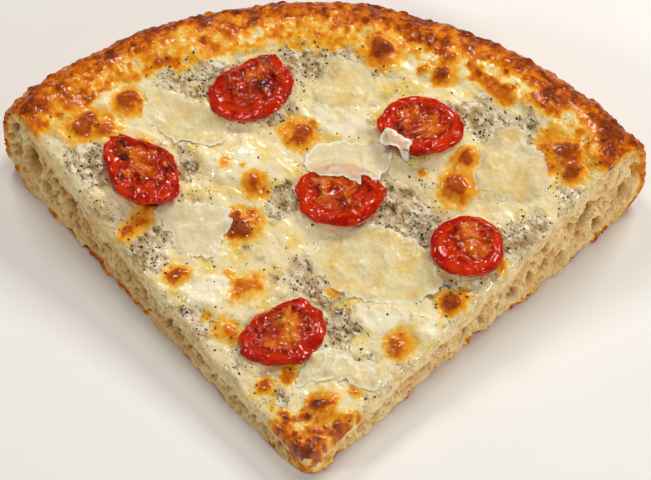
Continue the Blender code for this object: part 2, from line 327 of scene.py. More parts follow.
def filled(outline, spacing):
    """Plan points and triangles that fill an outline evenly, and each point's distance from the outline.
    The outline's own points come first."""
    low, high = outline.min(0), outline.max(0)
    step = np.array([spacing, spacing * math.sqrt(3) / 2])
    column_count, row_count = np.ceil((high - low) / step).astype(int)
    rows, columns = np.meshgrid(np.arange(row_count), np.arange(column_count), indexing="ij")
    x = (low[0] + (columns + 0.5 * (rows % 2)) * step[0]).ravel()
    y = (low[1] + rows * step[1]).ravel()
    border = lookup(outline)
    spots = np.column_stack([x, y])[inside(outline, x, y)]
    inner = spots[distances(border, spots) > EDGE_ROOM * spacing]
    loop = [(n, (n + 1) % len(outline)) for n in range(len(outline))]
    corners = [Vector(p) for p in outline.tolist() + inner.tolist()]
    points, _, faces, *_ = delaunay_2d_cdt(corners, loop, [], 1, 1e-6)
    points = np.array([tuple(p) for p in points])
    away = distances(border, points)
    away[: len(outline)] = 0
    return points, faces, away


# %% [markdown]
# ## Laying out materials
#
# A material here is a few dozen nodes, so one small class shortens the layout: each call adds a node, links
# what it is given and returns its output. Colours are written as the eye reads them, from 0 to 255, and
# turned into the linear values that shading needs. Patterns are laid out in object space, where one unit is
# a metre, so a size in millimetres gives the scale. Most of them are blotches of one colour over another.
# Some are streaks instead, drawn out along the strokes in which the cream was spread.

# %% Shader layout
STROKE = math.radians(38)  # how far the strokes that spread the cream slope down to the right


def tint(red, green, blue):
    eye = (red, green, blue)
    return tuple(((v / 255 + 0.055) / 1.055) ** 2.4 if v > 10 else v / 3294 for v in eye) + (1.0,)


class Layout:
    """Adds nodes to one tree. Most methods return the new node's output socket."""

    def __init__(self, tree):
        self.tree = tree
        self.place = None

    def node(self, kind, inputs, output=0, **settings):
        made = self.tree.nodes.new("ShaderNode" + kind)
        for name, value in settings.items():
            setattr(made, name, value)
        for key, value in inputs.items():
            self.feed(made.inputs[key], value)
        return made.outputs[output]

    def feed(self, socket, value):
        if isinstance(value, bpy.types.NodeSocket):
            self.tree.links.new(value, socket)
        else:
            socket.default_value = value

    def wire(self, shader, **sources):
        """Links each source to the shader's input of the same name."""
        for word, source in sources.items():
            self.feed(shader.inputs[word.replace("_", " ")], source)

    def value(self, name):
        """A number that the mesh carries at each point."""
        return self.node("Attribute", {}, "Fac", attribute_name=name)

    def point(self):
        if self.place is None:
            self.place = self.node("TexCoord", {}, "Object")
        return self.place

    def moved(self, place, *step):
        return self.node("VectorMath", {0: place, 1: step}, operation="ADD")

    def drawn(self, stretch):
        """The place as seen by a pattern that is drawn out along the strokes."""
        turned = self.node("VectorRotate", {"Vector": self.point(), "Angle": STROKE}, rotation_type="Z_AXIS")
        longer = self.node("CombineXYZ", {0: self.math("DIVIDE", 1.0, stretch), 1: 1.0, 2: 1.0})
        return self.node("VectorMath", {0: turned, 1: longer}, operation="MULTIPLY")

    def noise(self, size, detail=3.0, shift=0.0, output="Fac", streaked=False, **inputs):
        place = self.moved(self.drawn(1.7) if streaked else self.point(), shift, 2 * shift, -shift)
        known = {"Vector": place, "Scale": 1000 / size, "Detail": detail, **inputs}
        return self.node("TexNoise", known, output)

    def cells(self, size, output, shift):
        place = self.moved(self.point(), shift, -shift, shift)
        return self.node("TexVoronoi", {"Vector": place, "Scale": 1000 / size}, output)

    def math(self, operation, a, b=0.0, clamp=False):
        return self.node("Math", {0: a, 1: b}, operation=operation, use_clamp=clamp)

    def spread(self, value, low, high, to_low=0.0, to_high=1.0):
        known = {"Value": value, "From Min": low, "From Max": high, "To Min": to_low, "To Max": to_high}
        return self.node("MapRange", known, interpolation_type="SMOOTHSTEP")

    def blend(self, share, a, b):
        return self.node("Mix", {0: share, 6: a, 7: b}, 2, data_type="RGBA", blend_type="MIX")

    def blotch(self, under, over, size, low, high, most=1.0, **pattern):
        """Patches of one colour over another: none where noise of some mm is low, most where it is high."""
        return self.blend(self.spread(self.noise(size, **pattern), low, high, 0, most), under, over)

    def ramp(self, value, *stops):
        socket = self.node("ValToRGB", {"Fac": value})
        bar = socket.node.color_ramp
        for n, (at, colour) in enumerate(stops):
            stop = bar.elements[n] if n < 2 else bar.elements.new(at)
            stop.position = at
            stop.color = colour
        return socket

    def group(self, tree, **inputs):
        """Places a node group and returns its first output."""
        return self.node("Group", inputs, node_tree=tree)

    def bump(self, height, strength, distance):
        return self.node("Bump", {"Height": height, "Strength": strength, "Distance": distance * MM})


# %% Groups and materials
def new_group(name, inputs, outputs):
    """A node group with named sockets, its layout and its two ends."""
    tree = bpy.data.node_groups.new(name, "ShaderNodeTree")
    for word, (kind, value) in inputs.items():
        socket = tree.interface.new_socket(word, in_out="INPUT", socket_type="NodeSocket" + kind)
        socket.default_value = value
    for word, kind in outputs.items():
        tree.interface.new_socket(word, in_out="OUTPUT", socket_type="NodeSocket" + kind)
    start = tree.nodes.new("NodeGroupInput")
    end = tree.nodes.new("NodeGroupOutput")
    print("group", name, "gives", *outputs)
    return Layout(tree), start.outputs, end.inputs


def new_material(name, **constants):
    """A material with its layout and its Principled shader, whose constant values are set here."""
    material = bpy.data.materials.new(name)
    material.use_nodes = True
    shader = material.node_tree.nodes["Principled BSDF"]
    for word, value in constants.items():
        shader.inputs[word.replace("_", " ")].default_value = value
    print("material", name)
    return material, Layout(material.node_tree), shader


# %% [markdown]
# ## Browning
#
# Dough, cheese and cream all brown through the same colours in the oven: straw, gold, orange, red-brown and
# nearly black. One shared group turns a single amount into that colour, so that a blister looks alike
# wherever it sits. It adds fine mottling of its own, because browning is never even. It also gives the
# share of the surface that has browned, because browned places are smoother and oilier.

# %% Browning group
make, given, out = new_group(
    "browning",
    {"Base": ("Color", (0.8, 0.7, 0.5, 1)), "Amount": ("Float", 0.0), "Mottle": ("Float", 0.2)},
    {"Color": "Color", "Share": "Float"},
)
browning = make.tree
fleck = make.math("SUBTRACT", make.noise(1.4, 4.0, 0.3), 0.5)
fleck = make.math("MULTIPLY", fleck, make.spread(given["Amount"], 0.0, 0.15))
amount = make.math("MULTIPLY_ADD", fleck, given["Mottle"])
make.feed(amount.node.inputs[2], given["Amount"])
tone = make.ramp(
    amount,
    (0.0, tint(246, 218, 138)),
    (1.0, tint(60, 26, 14)),
    (0.14, tint(242, 200, 90)),
    (0.28, tint(236, 164, 36)),
    (0.44, tint(218, 118, 8)),
    (0.6, tint(182, 80, 3)),
    (0.8, tint(124, 50, 6)),
)
share = make.spread(amount, 0.05, 0.26)
make.feed(out["Color"], make.blend(share, given["Base"], tone))
make.feed(out["Share"], share)

# %% [markdown]
# ## Fine relief
#
# Below the size that the meshes hold, every food here has small swellings and pits of two sizes. One group
# makes that height for all of them, so each material only says how large its grain is, how strong the wide
# swellings are, how pitted it is and how far the swellings are drawn out along the strokes.

# %% Relief group
make, given, out = new_group(
    "fine_relief",
    {"Size": ("Float", 1.0), "Wide": ("Float", 1.2), "Pits": ("Float", 0.0), "Streaks": ("Float", 0.0)},
    {"Height": "Float"},
)
relief = make.tree
drawn = make.drawn(make.math("ADD", given["Streaks"], 1.0))
per_size = make.math("DIVIDE", 1000, given["Size"])
small = make.node("TexNoise", {"Vector": make.point(), "Scale": per_size, "Detail": 1.5})
wide = make.node("TexNoise", {"Vector": drawn, "Scale": make.math("MULTIPLY", per_size, 0.36), "Detail": 2.0})
pits = make.node("TexVoronoi", {"Vector": make.point(), "Scale": per_size}, "Distance")
height = make.math("ADD", small, make.math("MULTIPLY", wide, given["Wide"]))
make.feed(out["Height"], make.math("ADD", height, make.math("MULTIPLY", pits, given["Pits"])))

# %% [markdown]
# ## Truffle pepper
#
# Minced truffle shows in the cream as black grains, from dust to about a millimetre. The larger ones are
# made as chips further on. The dust is a pattern of small round cells: a cell shows a grain if its own
# random number is under the density, and a second number varies its size.

# %% Pepper group
make, given, out = new_group("truffle_pepper", {"Density": ("Float", 0.4)}, {"Mask": "Float"})
pepper = make.tree
sway = make.noise(0.7, 2.0, 0.2, "Color")
bent = make.node("VectorMath", {0: sway, 1: (0.0006, 0.0006, 0.0006)}, operation="MULTIPLY")
make.place = make.node("VectorMath", {0: make.point(), 1: bent}, operation="ADD")
masks = []
for size, shift in ((0.6, 0.11), (1.1, 0.47)):
    pick = make.node("SeparateColor", {0: make.cells(size, "Color", shift)}, "Red")
    grain = make.math("SUBTRACT", make.math("MULTIPLY", pick, 0.5), make.cells(size, "Distance", shift))
    shown = make.math("LESS_THAN", pick.node.outputs["Green"], given["Density"])
    masks.append(make.math("MULTIPLY", make.spread(grain, -0.05, 0.07), shown))
make.feed(out["Mask"], make.math("MAXIMUM", *masks))

# %% [markdown]
# ## Bread
#
# The crumb is ivory, and its holes and pores are painted deeper and warmer as shade; its skin is fine and
# slightly rough. The crust is the same dough browned, so one material covers both and the mesh says where it
# is baked and where a hole lies in painted shade. A dry crumb scatters light softly. Oil from the pan stands
# on the browned crust in patches, so the coat is patchy too.

# %% Bread material
bread_material, make, shader = new_material(
    "baked_bread", Subsurface_Weight=0.12, Subsurface_Scale=0.002, Subsurface_Radius=(1.0, 0.6, 0.3),
    Specular_IOR_Level=0.05, Coat_Roughness=0.16,
)  # fmt: skip
soft = make.blotch(tint(252, 225, 168), tint(236, 196, 130), 9, 0.35, 0.65, detail=2.0, shift=0.2)
soft = make.blotch(soft, tint(204, 151, 80), 2.6, 0.5, 0.72, 0.5, shift=0.7)
soft = make.blotch(soft, tint(188, 138, 68), 0.9, 0.5, 0.75, 0.5, shift=0.4)
# Painted shade: the crumb turns darker and warmer where the mesh says a hole or pore lies in shade.
hollow = make.blend(make.spread(make.value("pit"), 0.1, 0.85, 0, 0.92), soft, tint(166, 112, 46))
baked = make.group(browning, Base=hollow, Amount=make.value("bake"), Mottle=0.55)
share = baked.node.outputs["Share"]
oil = make.spread(make.noise(2.4, 3.0, 0.6), 0.5, 0.66, 0.0, 0.75)
make.wire(
    shader,
    Base_Color=baked,
    Roughness=make.spread(share, 0, 1, 0.85, 0.26),
    Coat_Weight=make.math("MULTIPLY", share, oil),
    Normal=make.bump(make.group(relief, Size=0.9, Pits=0.6), 0.7, 0.5),
)

# %% [markdown]
# ## Cream and melted cheese
#
# The cream and the mozzarella melt into one coat, grey and peppery in some places and white in others, so
# they share one material. The mesh says how white each point is, how much truffle it holds, how far it has
# browned, where tomato juice has stained it and where it is thin enough to look like bread. Milk fat on the
# surface gives small sharp highlights, which a coat layer makes. Grey cream is duller than cheese, so it
# gets less of it.

# %% Topping material
def topping_material(name, warm):
    material, make, shader = new_material(
        name, Subsurface_Weight=0.15, Subsurface_Scale=0.002, Subsurface_Radius=(1.0, 0.7, 0.4),
        Specular_IOR_Level=0.08, Coat_Roughness=0.11,
    )  # fmt: skip
    white, brown = make.value("white"), make.value("brown")
    grey = make.blotch(tint(172, 138, 90), tint(214, 195, 158), 6, 0.35, 0.65, shift=0.5)
    grey = make.blotch(grey, tint(88, 64, 32), 2.0, 0.53, 0.65, 0.8, detail=4.0, shift=0.15, streaked=True)
    grey = make.blotch(grey, tint(246, 236, 208), 2.0, 0.48, 0.64, 0.75, shift=0.35, streaked=True)
    milk = make.blotch(tint(241, 224, 178), warm, 8, 0.46, 0.68, shift=0.9)
    milk = make.blotch(milk, tint(232, 206, 140), 2.2, 0.5, 0.68, 0.55, detail=4.0, shift=0.25, streaked=True)
    milk = make.blotch(milk, tint(246, 233, 194), 1.8, 0.54, 0.68, 0.6, shift=0.65, streaked=True)
    # Where white goes over 1, in the middle of the pools, the milk is whiter still: partly its own colour,
    # partly a painted sheen.
    milk = make.blend(make.spread(white, 1.0, 1.5), milk, tint(247, 236, 202))
    base = make.blend(make.spread(white, 0.25, 0.75), grey, milk)
    faint = make.spread(make.noise(2.5, 2.0, 0.55), 0.35, 0.6, 0.3, 0.95)
    dust = make.math("MULTIPLY", make.group(pepper, Density=make.value("specks")), faint)
    base = make.blend(dust, base, tint(46, 36, 22))
    crumb = make.blotch(tint(249, 225, 168), tint(218, 176, 106), 1.8, 0.4, 0.65, detail=4.0, shift=0.45)
    base = make.blend(make.math("MULTIPLY", make.value("bready"), 0.8), base, crumb)
    base = make.blend(make.math("MULTIPLY", make.value("stain"), 0.2), base, tint(214, 110, 44))
    wet = make.spread(make.noise(3.0, 2.0, 0.8), 0.3, 0.6, 0.3, 1.0)
    wet = make.math("MULTIPLY", wet, make.spread(white, 0.25, 0.7, 0.3, 1.0))
    grain = make.group(relief, Size=1.0, Wide=3.0, Pits=0.15, Streaks=0.5)
    make.wire(
        shader,
        Base_Color=make.group(browning, Base=base, Amount=brown, Mottle=0.32),
        Roughness=make.spread(make.noise(1.5, 3.0, 0.4), 0.3, 0.7, 0.28, 0.5),
        Coat_Weight=make.math("MULTIPLY", wet, make.spread(brown, 0.1, 0.45, 0.6, 0.7)),
        Normal=make.bump(grain, make.spread(white, 0.4, 1.0, 0.85, 0.5), 0.35),
    )
    return material


cream_material = topping_material("truffle_cream_coat", tint(236, 204, 104))
cheese_material = topping_material("melted_mozzarella", tint(240, 206, 98))

# %% [markdown]
# ## Tomato
#
# A roasted tomato half is wet all over. Its skin is deep red, the flesh inside is orange to dark red and
# darkest in its hollows, partly as painted shade, and the highest edges are charred. Juice and oil stand on
# it in beads, so the coat comes and goes over two millimetres, and a fine bump breaks up its highlights. The
# larger creases are in the mesh.

# %% Tomato material
tomato_material, make, shader = new_material(
    "roasted_tomato", Subsurface_Weight=0.1, Subsurface_Scale=0.002, Subsurface_Radius=(1.0, 0.25, 0.1),
    Specular_IOR_Level=0.0, Coat_Roughness=0.08,
)  # fmt: skip
pulp = make.value("pulp")
skin = make.blotch(tint(208, 46, 2), tint(166, 18, 1), 5, 0.38, 0.62, shift=0.3)
skin = make.blotch(skin, tint(126, 6, 2), 2.2, 0.5, 0.7, 0.5, shift=0.7)
# The dark red stop is reached mostly in the hollows: partly the flesh's own deeper red, partly painted shade.
flesh = make.ramp(
    pulp,
    (0.0, tint(206, 36, 3)),
    (1.0, tint(234, 146, 44)),
    (0.12, tint(206, 54, 3)),
    (0.3, tint(142, 14, 3)),
    (0.55, tint(206, 80, 8)),
)
flesh = make.blotch(flesh, tint(164, 28, 4), 1.8, 0.45, 0.7, 0.5, shift=0.8)
streak = make.spread(make.noise(2.0, 3.0, 0.1, Distortion=1.2), 0.52, 0.68, 0, 0.6)
flesh = make.blend(make.math("MULTIPLY", make.spread(pulp, 0.25, 0.5), streak), flesh, tint(230, 134, 26))
colour = make.blend(make.spread(pulp, 0.02, 0.12), skin, flesh)
burnt = make.math("MULTIPLY", make.value("char"), make.spread(make.noise(2.2, 3.0, 0.1), 0.25, 0.55))
wet = make.math("ADD", make.value("wet"), make.spread(pulp, 0.02, 0.4, 0.0, 0.3))
beads = make.spread(make.noise(2.2, 2.0, 0.9), 0.4, 0.6, 0.3, 1.7)
make.wire(
    shader,
    Base_Color=make.blend(burnt, colour, tint(48, 8, 5)),
    Roughness=make.spread(make.noise(2, 3.0, 0.5), 0.3, 0.7, 0.16, 0.34),
    Coat_Weight=make.math("MULTIPLY", wet, beads, clamp=True),
    Normal=make.bump(make.group(relief, Size=1.6, Wide=2.4), 0.2, 0.4),
)

# %% [markdown]
# ## Shaved hard cheese
#
# A shaving of hard cheese softens in the heat until light passes through it. Where it lies flat it takes on
# the colour below: a partly clear surface does this in any viewer, while real scattering would need far
# longer to render. Over a tomato half the red below is also painted into it, as light that passes through.
# Its torn edges and creases are paler, partly as dry cheese is and partly as a painted highlight, and some
# shavings are chalky and dry.

# %% Shaving material
shaving_material, make, shader = new_material(
    "shaved_hard_cheese", Subsurface_Weight=0.1, Subsurface_Scale=0.001,
    Specular_IOR_Level=0.25, Coat_Weight=0.3, Coat_Roughness=0.12,
)  # fmt: skip
# edge makes torn edges and creases paler: partly the dry cheese's own colour, partly a painted highlight.
edge = make.value("edge")
body = make.blotch(tint(255, 236, 179), tint(254, 221, 136), 7, 0.42, 0.62, shift=0.6)
body = make.blotch(body, tint(240, 212, 148), 2.6, 0.52, 0.72, 0.6, detail=4.0, shift=0.15)
body = make.blotch(body, tint(255, 246, 212), 1.3, 0.53, 0.68, 0.75, shift=0.85)
body = make.blend(make.math("MULTIPLY", make.value("chalk"), 0.7), body, tint(250, 236, 204))
# blush paints the red of a tomato half below into the body, as light that passes through the sheet.
body = make.blend(make.math("MULTIPLY", make.value("blush"), 0.6), body, tint(232, 166, 136))
clear = make.math("MULTIPLY", make.spread(make.noise(4.5, 2.0, 0.25), 0.35, 0.65), 0.15)
clear = make.math("ADD", clear, make.math("MULTIPLY", make.value("melt"), 0.45))
make.wire(
    shader,
    Base_Color=make.blend(edge, body, tint(255, 251, 230)),
    Roughness=make.spread(make.noise(1.8, 3.0, 0.35), 0.3, 0.7, 0.34, 0.55),
    Alpha=make.math("SUBTRACT", make.spread(edge, 0, 1, 0.84, 0.96), clear),
    Normal=make.bump(make.group(relief, Size=1.6, Wide=2.5), 0.7, 0.4),
)

# %% [markdown]
# ## Truffle and seeds
#
# Chips of truffle are nearly black, matt and a little veined. Tomato seeds are orange, smooth and wet. Both
# are small, so a noise for the colour, another for the roughness and a little relief are enough.

# %% Small-piece materials
def small_material(name, dark, light, size, gloss, grain, strength, **constants):
    """A two-coloured material for small pieces. gloss is its least and most roughness, and the detail."""
    material, make, shader = new_material(name, **constants)
    smoothest, roughest, detail = gloss
    make.wire(
        shader,
        Base_Color=make.blend(make.noise(size), dark, light),
        Roughness=make.spread(make.noise(0.9, detail, 0.2), 0.3, 0.7, smoothest, roughest),
        Normal=make.bump(make.group(relief, Size=grain), strength, 0.1),
    )
    return material


truffle_material = small_material(
    "black_truffle", tint(32, 25, 16), tint(82, 62, 38), 0.6, (0.45, 0.75, 3.0), 0.4, 0.5,
    Specular_IOR_Level=0.3,
)  # fmt: skip
seed_material = small_material(
    "tomato_seed", tint(224, 138, 50), tint(204, 96, 26), 0.9, (0.2, 0.35, 2.0), 0.5, 0.3,
    Coat_Weight=1.0, Coat_Roughness=0.08,
)  # fmt: skip

# %% [markdown]
# ## The skin of the bread
#
# The bread is one closed skin: two cut faces, the small face of the tip, the crust that wraps over the
# outside, and the top and underside. One grid over all of it would be far too fine where cream hides it. So
# each face is filled at the spacing that it needs, all of them share the points along their common edges,
# and welding makes them one. A few rounds of smoothing then round the knife edges by about half a
# millimetre, as soft bread does.

# %% Points of the skin
def cut_point(way, side, height):
    """Points at a height on a section through the slice. The sections at side -1 and 1 are the cut faces."""
    x, y = set_back(*plan(way, side), lean(way, side, height), way)
    return np.stack(np.broadcast_arrays(x, y, height), -1)


def bread_point(way, side, up):
    """Points of the skin, up being their share of the way from the underside to the top."""
    return cut_point(way, side, mix(bread_base(way, side), bread_top(*plan(way, side)), up))


def even(ways, ups, spacing):
    """The same run over the section of the slice, as shares with points at even distances."""
    run = run_along(bread_point(ways, 1.0, ups))
    at = np.linspace(0, run[-1], round(run[-1] / spacing) + 1)
    return np.interp(at, run, ways), np.interp(at, run, ups)


# %% Where the faces meet
CRUMB_SPACING, CRUST_SPACING, HIDDEN_SPACING = 0.45, 0.55, 2.5
WRAP_TOP, WRAP_UNDER = 0.835, 0.87  # share of the way where the crust's own grid begins on top and ends below
RIM_COLUMNS, TIP_ROWS, TIP_COLUMNS = 420, 26, 24

slow_start, wall = np.linspace(0, 1, 3000), np.linspace(1, 0, 500)
round_over = 1 - (1 - WRAP_TOP) * (1 - slow_start) ** 2
round_under = 1 - (1 - WRAP_UNDER) * slow_start**2
wrap_ways, wrap_ups = even(
    np.concatenate([round_over, np.ones_like(wall), round_under]),
    np.concatenate([np.ones_like(slow_start), wall, np.zeros_like(slow_start)]),
    CRUST_SPACING,
)
under_ways = np.linspace(WRAP_UNDER, 0, round(WRAP_UNDER * CUT_LENGTH / CRUMB_SPACING))
tip_ups = np.linspace(0, 1, TIP_ROWS)
top_ways = np.linspace(0, WRAP_TOP, round(WRAP_TOP * CUT_LENGTH / CRUMB_SPACING))
wrap_sides = np.linspace(-1, 1, RIM_COLUMNS)
tip_sides = np.linspace(-1, 1, TIP_COLUMNS)
print("crust grid:", len(wrap_ways), "by", len(wrap_sides))


# %% Faces of the bread
def grid_skin(ways, ups, sides):
    """A face of the bread as a grid, with the share values of its points."""
    way, side = np.broadcast_arrays(ways[:, None], sides[None, :])
    up = np.broadcast_to(ups[:, None], way.shape)
    quads = np.asarray(grid_faces(*way.shape))
    triangles = np.concatenate([quads[:, [0, 1, 2]], quads[:, [0, 2, 3]]])
    return bread_point(way.ravel(), side.ravel(), up.ravel()), triangles, way.ravel(), side.ravel()


def cut_skin(side):
    """One cut face, laid out flat as way and height, filled evenly and put in its place."""
    ways = np.concatenate([wrap_ways, under_ways[1:], np.zeros(len(tip_ups) - 2), top_ways[:-1]])
    ups = np.concatenate([wrap_ups, np.zeros(len(under_ways) - 1), tip_ups[1:-1], np.ones(len(top_ways) - 1)])
    edge = bread_point(ways, side, ups)
    laid, faces, _ = filled(np.stack([ways * CUT_LENGTH, edge[:, 2]], -1), CRUMB_SPACING)
    points = cut_point(laid[:, 0] / CUT_LENGTH, side, laid[:, 1])
    points[: len(edge)] = edge
    return points, np.array(faces), laid[:, 0] / CUT_LENGTH, np.full(len(laid), float(side))


def flat_skin(edge, height):
    """The top or the underside, filled coarsely inside a fine edge."""
    laid, faces, _ = filled(edge[:, :2], HIDDEN_SPACING)
    points = np.column_stack([laid, height(laid[:, 0], laid[:, 1])])
    points[: len(edge)] = edge
    way, side = way_and_side(points[:, 0], points[:, 1])
    return points, np.array(faces), way, side


def ring_of(ways, ups, wrap_row, tip_up):
    """The closed edge of the top or the underside."""
    left = bread_point(ways, -1.0, ups)
    right = bread_point(ways[::-1], 1.0, ups)
    rim = bread_point(wrap_ways[wrap_row], wrap_sides[1:-1], wrap_ups[wrap_row])
    tip = bread_point(0.0, tip_sides[::-1][1:-1], tip_up)
    return np.concatenate([left, rim, right, tip])


def top_height(x, y):
    """Height of the bread's top at a plan position after the cut faces have leaned in."""
    x0, y0 = x, y
    for _ in range(3):
        way, side = way_and_side(x0, y0)
        back = lean(way, side, bread_top(x0, y0))
        x0 = x + back * math.cos(HALF_ANGLE)
        y0 = y - np.abs(back) * math.sin(HALF_ANGLE) * (1 - np.clip(way, 0, 1))
    return bread_top(x0, y0)


# %% Welding
BREAD_MIDDLE = np.array([0, 20, 10])


def weld(skins):
    """One mesh from several that share the places of their edge points, with every face turned outwards."""
    all_points, all_faces, start = [], [], 0
    for points, faces, *_ in skins:
        outwards = (face_normals(points, faces) * (points[faces].mean(1) - BREAD_MIDDLE)).sum()
        all_faces.append((faces if outwards > 0 else faces[:, ::-1]) + start)
        all_points.append(points)
        start += len(points)
    points = np.concatenate(all_points)
    _, first, index = np.unique(np.round(points, 3), axis=0, return_index=True, return_inverse=True)
    faces = index.reshape(-1)[np.concatenate(all_faces)]
    whole = (faces[:, 0] != faces[:, 1]) & (faces[:, 1] != faces[:, 2]) & (faces[:, 0] != faces[:, 2])
    values = [np.concatenate(v)[first] for v in zip(*(skin[2:] for skin in skins))]
    return points[first], faces[whole], *values


# %% Smoothing
def neighbours(faces):
    pairs = np.concatenate([faces[:, [0, 1]], faces[:, [1, 2]], faces[:, [2, 0]]])
    return np.unique(np.sort(pairs, axis=1), axis=0)


def smoothed(values, edges, rounds, strength=0.5):
    """Moves every value towards the mean of its neighbours."""
    values = np.array(values, float)
    count = np.bincount(edges.ravel(), minlength=len(values)).astype(float)
    count = count.reshape((-1,) + (1,) * (values.ndim - 1))
    for _ in range(rounds):
        total = np.zeros_like(values)
        np.add.at(total, edges[:, 0], values[edges[:, 1]])
        np.add.at(total, edges[:, 1], values[edges[:, 0]])
        values = mix(values, total / count, strength)
    return values


def normals_of(points, faces):
    """Unit normals of the points of a mesh."""
    flat = face_normals(points, faces)
    normal = np.zeros_like(points)
    for n in range(3):
        np.add.at(normal, faces[:, n], flat)
    return normal / np.maximum(1e-9, np.linalg.norm(normal, axis=1, keepdims=True))


# %% One skin
crust_skin = grid_skin(wrap_ways, wrap_ups, wrap_sides)
skins = [
    cut_skin(-1),
    cut_skin(1),
    crust_skin,
    grid_skin(np.zeros(len(tip_ups)), tip_ups, tip_sides),
    flat_skin(ring_of(top_ways, np.ones(len(top_ways)), 0, 1.0), top_height),
    flat_skin(ring_of(under_ways[::-1], np.zeros(len(under_ways)), -1, 0.0), lambda x, y: 0 * x),
]
bread_points, bread_faces, bread_way, bread_side = weld(skins)
bread_edges = neighbours(bread_faces)
on_section = np.abs(bread_side) > 0.9999
cut_share = smoothed(on_section, bread_edges, 1)
bread_points = smoothed(bread_points, bread_edges, 4)
bread_normals = normals_of(bread_points, bread_faces)
print("bread skin:", len(bread_points), "points,", len(bread_faces), "triangles")

# %% [markdown]
# ## Holes in the crumb
#
# A long-proved dough is full of bubbles. On a cut they show as ovals that stand nearly upright, a few of
# them over a centimetre tall, with more and more small ones between. Real bubbles could be cut out with
# booleans, but hundreds of them are slow and leave knife-sharp edges. Here they are thrown at the cut face
# like darts: each one is kept where it overlaps none before it, from the largest down, and is then pressed
# into the face as a bowl with an uneven edge.
# Each hole is also painted darker as shade, larger holes more, and most under its upper lip.

# %% Throwing the holes
HOLE_SIZES = ((4.0, 6), (2.8, 34), (1.9, 120), (1.1, 380), (0.6, 1500))  # half width in mm, number of darts


def overlap(a, b):
    """Whether two holes, as place along and up, half width and half height, come too near each other."""
    return math.hypot((a[0] - b[0]) / (a[2] + b[2]), (a[1] - b[1]) / (a[3] + b[3])) < 0.9


def throw_holes(side, seed):
    """The holes of one cut face."""
    chance = np.random.default_rng(seed)
    kept = []
    for width, count in HOLE_SIZES:
        for _ in range(count):
            half_width = width * chance.uniform(0.75, 1.2)
            half_height = half_width * chance.uniform(1.2, 2.9)
            way = chance.uniform(0.02, 0.985)
            low = bread_base(way, 1.0)
            high = bread_top(*plan(way, float(side)))
            up = mix(low, high, chance.uniform(0.0, 1.0) ** 0.9)
            half_height = min(half_height, 0.3 * (high - low) + 0.5)
            room = 0.8 + 0.35 * half_width
            hole = (way * CUT_LENGTH, up, half_width, half_height)
            if up - half_height < low + room or up + half_height > high - room:
                continue
            if not any(overlap(hole, other) for other in kept):
                kept.append((*hole, chance.uniform(-0.35, 0.35)))
    return kept


# %% Pressing the holes in
DEEPEST = 5.0
bread_depth, bread_shade = np.zeros(len(bread_points)), np.zeros(len(bread_points))
cut_lies = (bread_normals[:, 2] < 0.8) & on_section
for side, seed in ((-1, 4), (1, 11)):
    holes = throw_holes(side, seed)
    face = np.nonzero(cut_lies & (bread_side * side > 0))[0]
    along, up = bread_way[face] * CUT_LENGTH, bread_points[face, 2]
    wobble_along = rough(along, up, 3.0 * side, 2.8, 3, 21)
    wobble_up = rough(along, up, 9.0 * side, 2.8, 3, 22)
    depth, shade = np.zeros(len(face)), np.zeros(len(face))
    for a, u, w, h, tilt in holes:
        da, du = along + wobble_along * min(1, w) - a, up + wobble_up * min(1, w) - u
        da, du = da * math.cos(tilt) - du * math.sin(tilt), da * math.sin(tilt) + du * math.cos(tilt)
        share = np.hypot(da / w, du / h)
        depth = np.maximum(depth, min(1.9 * w, DEEPEST) * smooth_step(1.08, 0.35, share) ** 0.8)
        # Painted shade: the hole is darker, and darkest in its upper part, where the lip would shadow it.
        shadow_under_lip = 0.72 + 0.28 * smooth_step(-0.7, 0.7, du / h)
        shade = np.maximum(shade, min(1, 0.55 + 0.25 * w) * smooth_step(1.05, 0.55, share) * shadow_under_lip)
    bread_depth[face], bread_shade[face] = depth, shade
    print("side", side, "holes:", len(holes), "deepest", round(float(depth.max()), 1), "mm")

# %% [markdown]
# ## How the crust bakes
#
# Heat browns what stands out. The outside of the crust is the darkest, with red-brown spots on its nodules,
# and the slope towards the filling stays golden, palest on the right where the rim sheltered it. The cream
# thins out over that slope, so bread and cream must agree on the colour there: one function gives the
# browning of the rim at any place, and both use it.

# %% Nodules of the rim
RIM_ARC = 118  # radius in mm of the arc that runs round the rim


def rim_nodules(x, y, z):
    """Small and big domes of crust, and how strongly each small one has caught the heat."""
    way, side = way_and_side(x, y)
    round_rim, over_rim = RIM_ARC * side * HALF_ANGLE, CUT_LENGTH * way - z
    shift = 0.8 * rough(round_rim, over_rim, 0.0, 3.0, 2, 31)
    near, pick = cells(round_rim + shift, over_rim - shift, 2.3, 32)
    small = domes(near, 0.62) * (0.25 + 0.75 * pick)
    near, big_pick = cells(round_rim - shift, over_rim + 0.6 * shift, 5.5, 33)
    return small, domes(near, 0.5) * (big_pick > 0.45), pick


# %% Browning of the rim
MOST_BROWN = 0.8


